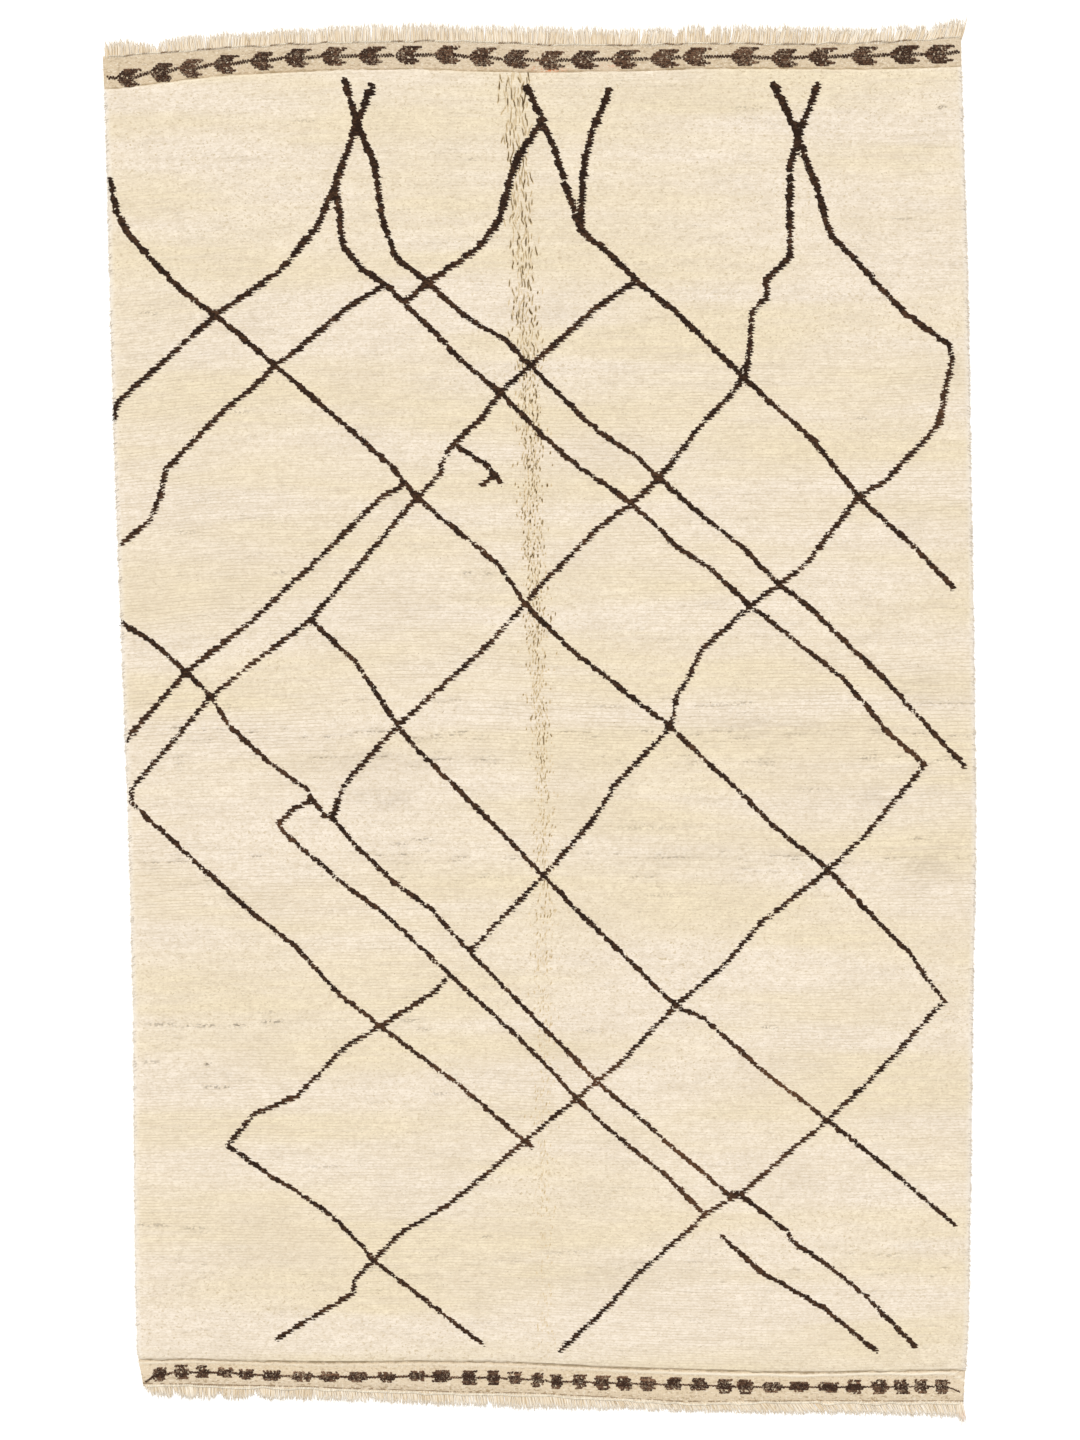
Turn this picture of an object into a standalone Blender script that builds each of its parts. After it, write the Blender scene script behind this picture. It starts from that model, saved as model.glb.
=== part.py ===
"""A hand-knotted wool rug, lying flat with its pile up.

Metres, +Z up. The rug's length runs along +Y and its width along +X. The origin is on
the underside, in the middle of the rug with its fringes. The knotted field, the
flat-woven ends and their step are one solid, because they are one cloth on one set of
warps. The cut warps at each end are one comb.
"""

import random

import bmesh
import bpy

# Thicknesses, all measured up from the floor.
PILE_HEIGHT = 0.013           # foundation and pile together, over most of the field
PILE_LIP_HEIGHT = 0.010       # the last row of knots, beside a flat-woven end
PILE_SIDE_HEIGHT = 0.006      # the outermost knots, which lean out and down
WEAVE_HEIGHT = 0.0035         # flat-woven ends
FRINGE_HEIGHT = 0.003         # cut warps, lying down

# How far the pile takes to come up to its full height.
SIDE_ROUNDING = (0.0, 0.008, 0.022)
SIDE_SHARE = (0.0, 0.70, 1.0)
END_ROUNDING = (0.0, 0.016)
END_SHARE = (0.0, 1.0)
STEP_RUN = 0.002              # from the flat weave up to the last row of knots

# The rug was stored folded in half, which left a shallow trough along it.
FOLD_HALF_WIDTH = 0.030
FOLD_DEPTH = 0.0015
FOLD_X_TOP = -0.038
FOLD_X_BOTTOM = 0.008
HALF_LENGTH = 1.19            # from the middle to where the fold's two ends are given

# Stations between the named ones.
PLAIN_COLUMNS = 9             # on each side of the fold
PLAIN_ROWS = 24               # along the pile field

# Fringe.
FRINGE_GAP = 0.0004           # between the comb and the cloth it grows from
FRINGE_ROOT = 0.005           # unbroken part, where the warps lie side by side
TASSEL_PITCH = 0.020
TASSEL_NOTCH = 0.003          # open width between two tufts at their tips
TASSEL_UNEVEN = 0.0025        # how much one tuft is longer or shorter than the next
FRINGE_SEED = 11

# Both sides: distance along the rug, then where its left and its right side lie.
SIDES = (
    # along, left, right
    (1.180, -0.7660, 0.7400),
    (1.050, -0.7590, 0.7430),
    (0.800, -0.7530, 0.7510),
    (0.500, -0.7450, 0.7560),
    (0.200, -0.7340, 0.7610),
    (0.000, -0.7260, 0.7640),
    (-0.200, -0.7190, 0.7660),
    (-0.500, -0.7110, 0.7600),
    (-0.800, -0.7090, 0.7570),
    (-1.050, -0.7060, 0.7530),
    (-1.130, -0.7030, 0.7490),
    (-1.170, -0.6930, 0.7440),
)

# Each end: distance across the rug, then where the pile stops, where the flat weave
# stops and how far the fringe reaches.
TOP_END = (
    # across, pile, weave, tips
    (-0.765, 1.1040, 1.1650, 1.1820),
    (-0.700, 1.1100, 1.1700, 1.1860),
    (-0.600, 1.1250, 1.1790, 1.1960),
    (-0.500, 1.1330, 1.1840, 1.2060),
    (-0.400, 1.1370, 1.1900, 1.2140),
    (-0.250, 1.1410, 1.1930, 1.2180),
    (-0.100, 1.1370, 1.1930, 1.2180),
    (0.000, 1.1350, 1.1870, 1.2130),
    (0.150, 1.1370, 1.1860, 1.2120),
    (0.300, 1.1420, 1.1890, 1.2160),
    (0.500, 1.1410, 1.1890, 1.2140),
    (0.600, 1.1390, 1.1910, 1.2150),
    (0.700, 1.1450, 1.1960, 1.2190),
    (0.740, 1.1440, 1.2020, 1.2260),
)
BOTTOM_END = (
    # across, pile, weave, tips
    (-0.690, -1.1160, -1.1660, -1.1860),
    (-0.600, -1.1160, -1.1680, -1.1900),
    (-0.400, -1.1210, -1.1700, -1.1920),
    (-0.300, -1.1210, -1.1730, -1.1950),
    (-0.200, -1.1190, -1.1760, -1.2000),
    (-0.100, -1.1190, -1.1780, -1.2040),
    (0.000, -1.1240, -1.1800, -1.2070),
    (0.150, -1.1310, -1.1860, -1.2100),
    (0.270, -1.1350, -1.1910, -1.2130),
    (0.400, -1.1380, -1.1900, -1.2150),
    (0.500, -1.1400, -1.1900, -1.2170),
    (0.600, -1.1360, -1.1910, -1.2180),
    (0.700, -1.1350, -1.1910, -1.2200),
    (0.744, -1.1340, -1.1920, -1.2260),
)


def read(table, at, column):
    """Straight-line reading of a table whose first column is the distance."""
    rows = sorted(table)
    if at <= rows[0][0]:
        return rows[0][column]
    for low, high in zip(rows, rows[1:]):
        if at <= high[0]:
            share = (at - low[0]) / (high[0] - low[0])
            return low[column] + share * (high[column] - low[column])
    return rows[-1][column]


def even_steps(start, end, count):
    """count values spread evenly between start and end, both left out."""
    return [start + (end - start) * step / (count + 1) for step in range(1, count + 1)]


def fold_across(along):
    """Where the trough of the old fold lies at this distance along the rug."""
    share = (along + HALF_LENGTH) / (2 * HALF_LENGTH)
    return FOLD_X_BOTTOM + share * (FOLD_X_TOP - FOLD_X_BOTTOM)


def column_shares():
    """Each column as the share of the pile's height that its place allows."""
    return (
        list(SIDE_SHARE)
        + [1.0] * PLAIN_COLUMNS
        + [1.0, 1.0 - FOLD_DEPTH / (PILE_HEIGHT - PILE_SIDE_HEIGHT), 1.0]
        + [1.0] * PLAIN_COLUMNS
        + list(reversed(SIDE_SHARE))
    )


def columns_at(along):
    """Distances across the rug of every column, on the row at this distance along."""
    left = read(SIDES, along, 1)
    right = read(SIDES, along, 2)
    fold = fold_across(along)
    left_side = [left + inset for inset in SIDE_ROUNDING]
    right_side = [right - inset for inset in reversed(SIDE_ROUNDING)]
    trough = [fold - FOLD_HALF_WIDTH, fold, fold + FOLD_HALF_WIDTH]
    return (
        left_side
        + even_steps(left_side[-1], trough[0], PLAIN_COLUMNS)
        + trough
        + even_steps(trough[-1], right_side[0], PLAIN_COLUMNS)
        + right_side
    )


def end_rows(end, inward):
    """Rows of one end as (kind of place, function of distance across), outside first."""
    rows = [
        ("weave", lambda x: read(end, x, 2)),
        ("weave", lambda x: (read(end, x, 1) + read(end, x, 2)) / 2),
        ("weave", lambda x: read(end, x, 1) - inward * STEP_RUN),
    ]
    for inset, share in zip(END_ROUNDING, END_SHARE):
        rows.append((share, lambda x, inset=inset: read(end, x, 1) + inward * inset))
    return rows


def all_rows():
    """Every row of the cloth, from the bottom end to the top end."""
    bottom = end_rows(BOTTOM_END, 1)
    top = end_rows(TOP_END, -1)
    field = []
    for share in even_steps(0.0, 1.0, PLAIN_ROWS):
        field.append(
            (1.0, lambda x, share=share: bottom[-1][1](x)
             + share * (top[-1][1](x) - bottom[-1][1](x)))
        )
    return bottom + field + list(reversed(top))


def height_at(place, share):
    """Height of the cloth's upper face for a row's place and a column's share."""
    if place == "weave":
        return WEAVE_HEIGHT
    low = PILE_LIP_HEIGHT + place * (PILE_HEIGHT - PILE_LIP_HEIGHT)
    return PILE_SIDE_HEIGHT + share * (low - PILE_SIDE_HEIGHT)


def row_points(row):
    """The (x, y) points of one row of the cloth."""
    points = []
    for column, x in enumerate(columns_at(row[1](0.0))):
        y = row[1](x)
        points.append((columns_at(y)[column], y))
    return points


def make_material(name, colour, roughness):
    material = bpy.data.materials.new(name)
    material.use_nodes = True
    shader = material.node_tree.nodes["Principled BSDF"]
    shader.inputs["Base Color"].default_value = (*colour, 1.0)
    shader.inputs["Roughness"].default_value = roughness
    shader.inputs["Metallic"].default_value = 0.0
    return material


def add_grid(name, columns, rows, collection, material):
    """A flat grid object of columns by rows points, with vertices in row order."""
    bpy.ops.mesh.primitive_grid_add(x_subdivisions=columns - 1, y_subdivisions=rows - 1, size=1)
    grid = bpy.context.object
    grid.name = name
    for owner in list(grid.users_collection):
        owner.objects.unlink(grid)
    collection.objects.link(grid)
    grid.data.materials.append(material)
    return grid


def thicken(sheet, heights, full):
    """Solidify a flat sheet upwards, to its own height at each vertex."""
    group = sheet.vertex_groups.new(name="height")
    for index, height in enumerate(heights):
        group.add([index], height / full, "REPLACE")
    solidify = sheet.modifiers.new("thickness", "SOLIDIFY")
    solidify.thickness = full
    solidify.offset = 1.0
    solidify.vertex_group = group.name


def make_cloth(collection, material):
    """The knotted field with its two flat-woven ends, as one sheet."""
    rows = all_rows()
    shares = column_shares()
    cloth = add_grid("rug_cloth", len(shares), len(rows), collection, material)
    heights = []
    vertices = iter(cloth.data.vertices)
    for row in rows:
        for (x, y), share in zip(row_points(row), shares):
            next(vertices).co = (x, y, 0.0)
            heights.append(height_at(row[0], share))
    thicken(cloth, heights, PILE_HEIGHT)
    return cloth


def make_fringe(name, end, edge_row, outward, collection, material, rng):
    """The cut warps of one end: an unbroken root and a row of uneven tufts."""
    edge = sorted(row_points(edge_row))
    start = edge[0][0]
    width = edge[-1][0] - start
    tufts = round(width / TASSEL_PITCH)
    pitch = width / tufts
    stations = []
    for tuft in range(tufts):
        stations += [start + tuft * pitch, start + (tuft + 1) * pitch - TASSEL_NOTCH]
    stations[-1] = edge[-1][0]

    comb = add_grid(name, len(stations), 3, collection, material)
    tips = []
    for tuft in range(tufts):
        longer = rng.uniform(-TASSEL_UNEVEN, 0.0)
        tips += [longer + rng.uniform(-0.001, 0.0), longer]
    # The corner tufts reach as far as the table says, so the rug keeps its length.
    tips[0] = 0.0
    tips[-1] = 0.0
    count = len(stations)
    for column, x in enumerate(stations):
        root = read(edge, x, 1) + outward * FRINGE_GAP
        reach = read(end, x, 3) + outward * tips[column]
        levels = (root, root + outward * FRINGE_ROOT, reach)
        for level, y in enumerate(levels):
            comb.data.vertices[level * count + column].co = (x, y, 0.0)

    mesh = bmesh.new()
    mesh.from_mesh(comb.data)
    mesh.faces.ensure_lookup_table()
    notches = [
        mesh.faces[(count - 1) + column] for column in range(1, count - 1, 2)
    ]
    bmesh.ops.delete(mesh, geom=notches, context="FACES")
    if outward < 0:
        bmesh.ops.reverse_faces(mesh, faces=mesh.faces)
    mesh.to_mesh(comb.data)
    mesh.free()
    thicken(comb, [FRINGE_HEIGHT] * len(comb.data.vertices), FRINGE_HEIGHT)
    return comb


def build():
    for item in list(bpy.data.objects):
        bpy.data.objects.remove(item, do_unlink=True)
    collection = bpy.data.collections.new("afghan_rug")
    bpy.context.scene.collection.children.link(collection)

    wool = make_material("knotted_wool", (0.80, 0.68, 0.51), 0.95)
    warp = make_material("cut_warps", (0.78, 0.70, 0.56), 0.95)

    make_cloth(collection, wool)
    rng = random.Random(FRINGE_SEED)
    rows = all_rows()
    make_fringe("fringe_top", TOP_END, rows[-1], 1, collection, warp, rng)
    make_fringe("fringe_bottom", BOTTOM_END, rows[0], -1, collection, warp, rng)


build()
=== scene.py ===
# %% [markdown]
# # A hand-knotted wool rug, lying flat
# This lesson builds the looks of a rug that a village weaver knots on a loom: a cream
# pile with an uneven lattice of brown lines, a flat-woven band with small brown
# figures at each end, and the cut warps as a short fringe. The solid model gives the
# outline, and each cell below adds one thing that the weaver does. Lengths are metres
# unless a name says otherwise.

# %% Load the solid model
import math
import bpy
import numpy as np
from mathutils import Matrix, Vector


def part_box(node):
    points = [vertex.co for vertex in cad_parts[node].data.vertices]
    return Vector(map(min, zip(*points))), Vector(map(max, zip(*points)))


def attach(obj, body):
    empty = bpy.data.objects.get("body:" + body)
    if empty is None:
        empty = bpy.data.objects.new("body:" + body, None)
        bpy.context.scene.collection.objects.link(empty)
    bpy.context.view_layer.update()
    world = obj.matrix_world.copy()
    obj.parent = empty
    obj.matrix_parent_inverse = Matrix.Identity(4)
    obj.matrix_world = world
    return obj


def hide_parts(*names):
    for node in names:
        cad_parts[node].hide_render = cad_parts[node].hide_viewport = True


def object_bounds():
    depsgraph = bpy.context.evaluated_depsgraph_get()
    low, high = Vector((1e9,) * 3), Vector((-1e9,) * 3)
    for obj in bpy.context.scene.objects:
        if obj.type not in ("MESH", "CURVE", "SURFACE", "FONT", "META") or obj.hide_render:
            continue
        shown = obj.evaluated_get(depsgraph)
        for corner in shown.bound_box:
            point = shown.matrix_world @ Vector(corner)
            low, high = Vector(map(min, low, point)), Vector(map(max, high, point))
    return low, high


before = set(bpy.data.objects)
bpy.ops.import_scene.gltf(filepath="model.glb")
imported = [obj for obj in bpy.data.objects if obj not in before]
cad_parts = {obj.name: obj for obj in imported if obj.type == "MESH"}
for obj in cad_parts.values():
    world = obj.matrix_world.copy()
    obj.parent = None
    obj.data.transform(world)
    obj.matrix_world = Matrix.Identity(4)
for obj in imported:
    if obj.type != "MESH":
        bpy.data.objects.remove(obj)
CAD_BOX = [list(corner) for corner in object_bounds()]
print("solid model from", CAD_BOX[0], "to", CAD_BOX[1])

# %% [markdown]
# ## Camera
# The rug is looked at from straight above, from well back, so that its four sides
# stay as straight as they are. A long lens does that. The camera could also be
# orthographic, but a real lens keeps the other views of the rug natural.

# %% Camera
LENS_MM = 85.0
SENSOR_MM = 36.0
VIEW_LENGTH = 2.52            # how much of the floor the picture's long side takes in
VIEW_CENTRE = (0.0018, 0.0018)
PILE_TOP = CAD_BOX[1][2]


def new_object(name, data):
    """An object with this data, put in the scene."""
    made = bpy.data.objects.new(name, data)
    bpy.context.scene.collection.objects.link(made)
    return made


distance = VIEW_LENGTH / 2 / (SENSOR_MM / 2 / LENS_MM)
camera = new_object("camera", bpy.data.cameras.new("camera"))
camera.data.lens = LENS_MM
camera.data.sensor_width = SENSOR_MM
camera.location = (*VIEW_CENTRE, PILE_TOP + distance)
bpy.context.scene.camera = camera
print("camera", round(distance, 2), "m above the pile")

# %% [markdown]
# ## Floor and light
# A plain pale floor and a soft, even light, as in a studio where rugs are laid out.
# The light leans a little from the top end, so that the lower edge of each row of
# knots falls in shade. One broad sun and a pale world do that with no hot spot, and a
# faint glow of the floor keeps the shade between the fringe's fibres soft. The plain
# "Standard" view keeps the cream of the wool as it is, with no film curve.

# %% Floor and light
FLOOR_SIZE = 120.0
FLOOR_DROP = 0.0004           # how far below the rug's underside the floor lies
FLOOR_GLOW = 0.22
SUN_STRENGTH = 1.7
SUN_SPREAD = math.radians(24)
SUN_FROM = Vector((-0.14, 0.50, 1.0))
WORLD_STRENGTH = 0.66

bpy.context.scene.view_settings.view_transform = "Standard"
bpy.ops.mesh.primitive_plane_add(size=FLOOR_SIZE, location=(0, 0, -FLOOR_DROP))
floor = bpy.context.object
floor.name = "floor"
floor_material = bpy.data.materials.new("pale_floor")
floor_material.use_nodes = True
floor_inputs = floor_material.node_tree.nodes["Principled BSDF"].inputs
floor_inputs["Base Color"].default_value = (0.93, 0.93, 0.93, 1)
floor_inputs["Roughness"].default_value = 0.9
floor_inputs["Emission Color"].default_value = (1, 1, 1, 1)
floor_inputs["Emission Strength"].default_value = FLOOR_GLOW
floor.data.materials.append(floor_material)

sun = new_object("soft_sun", bpy.data.lights.new("soft_sun", "SUN"))
sun.data.energy = SUN_STRENGTH
sun.data.angle = SUN_SPREAD
sun.rotation_mode = "QUATERNION"
sun.rotation_quaternion = SUN_FROM.to_track_quat("Z", "Y")

world = bpy.data.worlds.new("pale_room")
world.use_nodes = True
sky_inputs = world.node_tree.nodes["Background"].inputs
sky_inputs["Color"].default_value = (1.0, 0.99, 0.97, 1)
sky_inputs["Strength"].default_value = WORLD_STRENGTH
bpy.context.scene.world = world
print("floor, sun and world ready")

# %% [markdown]
# ## The outline, read from the solid model
# No side of a hand-woven rug is straight. The solid model already holds that outline,
# so it is read from there and not drawn twice: the edges round a level face are those
# that only one of its triangles uses, and a line laid across them gives the sides.

# %% Edges round the level faces
LEVEL_SLACK = 0.0002          # how far from level a corner may lie
WEAVE_TOP = 0.0035            # upper face of the flat-woven ends


def level_outline(node, height, facing):
    """Edges (x, y, x, y) round a node's level faces at a height, facing up 1 or down -1."""
    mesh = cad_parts[node].data
    uses = {}
    for face in mesh.polygons:
        corners = [mesh.vertices[index].co for index in face.vertices]
        level = all(abs(corner.z - height) < LEVEL_SLACK for corner in corners)
        if not level or face.normal.z * facing < 0.9:
            continue
        places = [(round(corner.x, 5), round(corner.y, 5)) for corner in corners]
        for edge in zip(places, places[1:] + places[:1]):
            edge = frozenset(edge)
            uses[edge] = uses.get(edge, 0) + 1
    once = [tuple(edge) for edge, times in uses.items() if times == 1 and len(edge) == 2]
    return np.array([[*start, *end] for start, end in once])


def crossings(outline, value, axis):
    """Where an outline crosses x = value (axis 0) or y = value (axis 1), in order."""
    start, end = outline[:, axis], outline[:, axis + 2]
    hit = (np.minimum(start, end) <= value) & (value < np.maximum(start, end))
    share = (value - start[hit]) / (end[hit] - start[hit])
    low, high = outline[hit, 1 - axis], outline[hit, 3 - axis]
    return np.sort(low + share * (high - low))


base_outline = level_outline("rug_cloth", 0.0, -1)
weave_outline = level_outline("rug_cloth", WEAVE_TOP, 1)
print(len(base_outline), "edges round the underside,", len(weave_outline), "round the ends")

# %% [markdown]
# ## Sides and ends as smooth functions
# The outline is sampled along each side and each end, and softened a little, because
# wool has no corners. From here on, left_side(y), top_edge(x) and the others say where
# the rug's edges are. At the bottom end the last rows of weft have slipped a few
# millimetres down over the roots of the fringe, most of all on the right.

# %% Edge functions
SAMPLES = 160
SOFTEN = 5                    # samples that are averaged together
CORNER_CLEAR = 0.004
LEFT_CORNERS = (-0.690, -0.762)      # across, a little inside the bottom and top corners
ENDS = (-0.690, 0.738)        # across, from where to where both ends are sampled
BAND_SAG = (
    # across, how far the last rows of weft have slipped down over the fringe's roots
    (-0.60, 0.000), (-0.35, 0.003), (0.00, 0.004), (0.24, 0.0075), (0.50, 0.007), (0.742, 0.0055),
)


def read(table, at):
    """The value at a place, read straight between the rows of a table (place, value)."""
    return np.interp(at, *zip(*table))


def softened(values):
    """Values with each one averaged with its neighbours."""
    padded = np.pad(values, SOFTEN // 2, mode="edge")
    return np.convolve(padded, np.ones(SOFTEN) / SOFTEN, mode="valid")


def edge_function(outline, low, high, axis, pick):
    """A smooth function that gives the pick-th crossing between low and high."""
    stations = np.linspace(low, high, SAMPLES)
    values = softened(np.array([crossings(outline, at, axis)[pick] for at in stations]))
    return lambda at: np.interp(at, stations, values)


cloth_low, cloth_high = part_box("rug_cloth")
LEFT_SPAN = (crossings(base_outline, LEFT_CORNERS[0], 0)[0],
             crossings(base_outline, LEFT_CORNERS[1], 0)[-1] - CORNER_CLEAR)
RIGHT_SPAN = (cloth_low.y + CORNER_CLEAR, cloth_high.y - CORNER_CLEAR)
left_side = edge_function(base_outline, *LEFT_SPAN, 1, 0)
right_side = edge_function(base_outline, *RIGHT_SPAN, 1, -1)
solid_bottom = edge_function(base_outline, *ENDS, 0, 0)
top_edge = edge_function(base_outline, ENDS[0] - 0.07, ENDS[1], 0, -1)
bottom_step = edge_function(weave_outline, *ENDS, 0, 1)
top_step = edge_function(weave_outline, ENDS[0] - 0.06, ENDS[1], 0, -2)


def bottom_edge(x):
    """The bottom end of the weave, with its slipped rows of weft."""
    return solid_bottom(x) - read(BAND_SAG, x)


print("width at the middle", round(float(right_side(0.0) - left_side(0.0)), 3), "m")

# %% [markdown]
# ## Seeded unevenness
# Handwork is uneven at every scale: rows wander, knots differ, yarn is thick and thin.
# One helper gives all of it, a table of seeded random values that is read smoothly, at
# any size. It gives the same rug on every run. Two more add several sizes of it up, and
# lay soft oval spots.

# %% Soft noise
NOISE_TABLE = 64


def soft_noise(x, y, size_x, size_y, seed):
    """Smooth values from -1 to 1 that change over size_x across and size_y along."""
    table = np.random.default_rng(seed).uniform(-1.0, 1.0, (NOISE_TABLE, NOISE_TABLE))
    across = np.asarray(x) / size_x
    along = np.asarray(y) / size_y
    column, row = np.floor(across).astype(int), np.floor(along).astype(int)
    across, along = across - column, along - row
    across, along = across * across * (3 - 2 * across), along * along * (3 - 2 * along)

    def corner(i, j):
        return table[(column + i) % NOISE_TABLE, (row + j) % NOISE_TABLE]

    near = corner(0, 0) * (1 - across) + corner(1, 0) * across
    far = corner(0, 1) * (1 - across) + corner(1, 1) * across
    return near * (1 - along) + far * along


def layers_of_noise(x, y, layers):
    """The sum of soft noises, a row (strength, size across, size along, seed) for each."""
    return sum(strength * soft_noise(x, y, *size_and_seed) for strength, *size_and_seed in layers)


def soft_spots(x, y, table):
    """Oval spots, a row (across, along, half-width, half-height, strength) for each."""
    return sum(strength * np.exp(-((x - across) / half_width) ** 2
                                 - ((y - along) / half_height) ** 2)
               for across, along, half_width, half_height, strength in table)


print("a sample of the noise:", soft_noise(np.linspace(0, 0.1, 4), 0.0, 0.05, 0.05, 1).round(2))

# %% [markdown]
# ## The grid of knots
# The pile is tied in rows across the rug, one knot beside the next, and its tufts lean
# towards the bottom end, so each row overlaps the one below like tiles. The surface is
# a grid that follows those rows: two lines of points a row, one in the shaded groove
# and one on the lip that stands over it. Displacing a plain plane would need far more
# faces for the same crisp rows. The rows are deepest about the middle of the rug, and
# finest at the bottom end.

# %% Rows of points
ROW_DEPTHS = (
    # along, depth of a row
    (-1.1, 0.0047), (-0.8, 0.0051), (-0.4, 0.0056), (0.0, 0.0062), (0.3, 0.0056),
    (0.5, 0.0059), (0.65, 0.0052), (0.8, 0.0053), (1.1, 0.0059),
)
ROW_UNEVEN = 0.11             # how much one row's depth differs from the next
ROW_LINES = (
    # share of the row, height above the pile
    (0.00, -0.0010),
    (0.34, 0.0006),
)
STEP_RUN = 0.002              # from the flat weave to the first knots

row_rng = np.random.default_rng(5)
row_starts = [float(bottom_step(0.0)) + STEP_RUN]
while row_starts[-1] < float(top_step(0.0)) - STEP_RUN:
    depth = read(ROW_DEPTHS, row_starts[-1]) * (1 + row_rng.uniform(-1, 1) * ROW_UNEVEN)
    row_starts.append(row_starts[-1] + float(depth))
row_starts = np.array(row_starts)
row_starts = (row_starts - row_starts[0]) / np.ptp(row_starts)
row_count = len(row_starts) - 1
line_number = np.arange(row_count * len(ROW_LINES) + 1)
line_rows, line_kinds = line_number // len(ROW_LINES), line_number % len(ROW_LINES)
line_share, line_height = np.array(ROW_LINES)[line_kinds].T
next_start = row_starts[np.minimum(line_rows + 1, row_count)]
line_along = row_starts[line_rows] + line_share * (next_start - row_starts[line_rows])
print(row_count, "rows of knots,", len(line_along), "lines of points")

# %% [markdown]
# ## Columns of points
# The rug was kept folded in half along its length, and along that fold the pile parts
# into fine upright slits. The columns are close together there and wider elsewhere.
# At both sides the last columns roll over and down, because the outermost tufts lean
# out and hide the side of the cloth.

# %% Columns of points
COLUMN_STEP = 0.0056
SLIT_STEP = 0.0012            # between columns in the folded zone
FOLD_HALF = 0.042
FOLD_PLACES = (
    # along, across
    (-1.19, 0.0080), (-0.50, 0.0070), (-0.15, 0.0100), (0.05, -0.0040), (0.45, -0.0135),
    (0.65, -0.0215), (0.80, -0.0270), (0.95, -0.0365), (1.15, -0.0480),
)
SIDE_ROLL = (
    # inset from the side, height
    (0.0045, 0.0012),
    (0.0012, 0.0016),
    (0.0000, 0.0036),
    (0.0012, 0.0066),
    (0.0046, 0.0093),
    (0.0100, 0.0112),
    (0.0170, 0.0122),
)
PILE_LEVEL = 0.0124
ROLL_WIDTH = 0.023


def fold_line(y):
    """Where the old fold lies across the rug, at this distance along it."""
    return read(FOLD_PLACES, y)


span_left = float(fold_line(0) - FOLD_HALF - left_side(0.0) - ROLL_WIDTH)
span_right = float(right_side(0.0) - ROLL_WIDTH - fold_line(0) - FOLD_HALF)
left_count, right_count = round(span_left / COLUMN_STEP), round(span_right / COLUMN_STEP)
slit_count = round(2 * FOLD_HALF / SLIT_STEP)
roll_count = len(SIDE_ROLL)
column_count = 2 * roll_count + left_count + slit_count + right_count + 1
print(column_count, "columns,", slit_count, "of them along the fold")


# %% Places across the rug
def with_sides(left, right, profile):
    """A grid of x, with its outer columns set in from the sides as a profile says."""
    x = np.empty_like(left)
    for index, (inset, height) in enumerate(profile):
        x[:, index] = left[:, index] + inset
        x[:, -1 - index] = right[:, -1 - index] - inset
    return x


def places_across(y):
    """x of every column on rows at y. y has one value per row and column."""
    left, right, fold = left_side(y), right_side(y), fold_line(y)
    x = with_sides(left, right, SIDE_ROLL)
    begin = roll_count
    for start, end, steps, columns in (
            (left + ROLL_WIDTH, fold - FOLD_HALF, left_count, left_count),
            (fold - FOLD_HALF, fold + FOLD_HALF, slit_count, slit_count),
            (fold + FOLD_HALF, right - ROLL_WIDTH, right_count, right_count + 1)):
        part = slice(begin, begin + columns)
        x[:, part] = start[:, part] + (end - start)[:, part] * np.arange(columns) / steps
        begin += columns
    return x


SETTLING_TURNS = 5
ROW_WANDER = (
    # strength, size across, size along, seed
    (0.0032, 0.26, 0.11, 21), (0.0010, 0.035, 0.02, 22), (0.0006, 0.009, 0.006, 23),
)


def settled_grid(x_at, y_at, lines, columns):
    """A grid (x, y) where x follows from y and y from x, found by turns."""
    y = np.zeros((lines, columns))
    for turn in range(SETTLING_TURNS):
        x = x_at(y)
        y = y_at(x)
    return x, y


def pile_line_y(x):
    """y of every line of the pile in columns at x."""
    low, high = bottom_step(x) + STEP_RUN, top_step(x) - STEP_RUN
    return low + line_along[:, None] * (high - low)


pile_x, pile_y = settled_grid(places_across, pile_line_y, len(line_along), column_count)
settle = np.minimum(1.0, 8 * np.minimum(line_along, 1 - line_along))[:, None]
pile_y += settle * layers_of_noise(pile_x, pile_y, ROW_WANDER)
print("grid of", pile_x.shape, "points")

# %% [markdown]
# ## The lattice
# The weaver ties brown knots in lines that cross as loose lozenges, by eye and with no
# plan, so every lozenge differs. Each line is a short list of the places where it
# turns, in centimetres from the middle of the rug, with its crossings in common.
# Between those places it runs straight. The small steps at its edges aren't drawn:
# they come from the rows of knots, further down.

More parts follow.
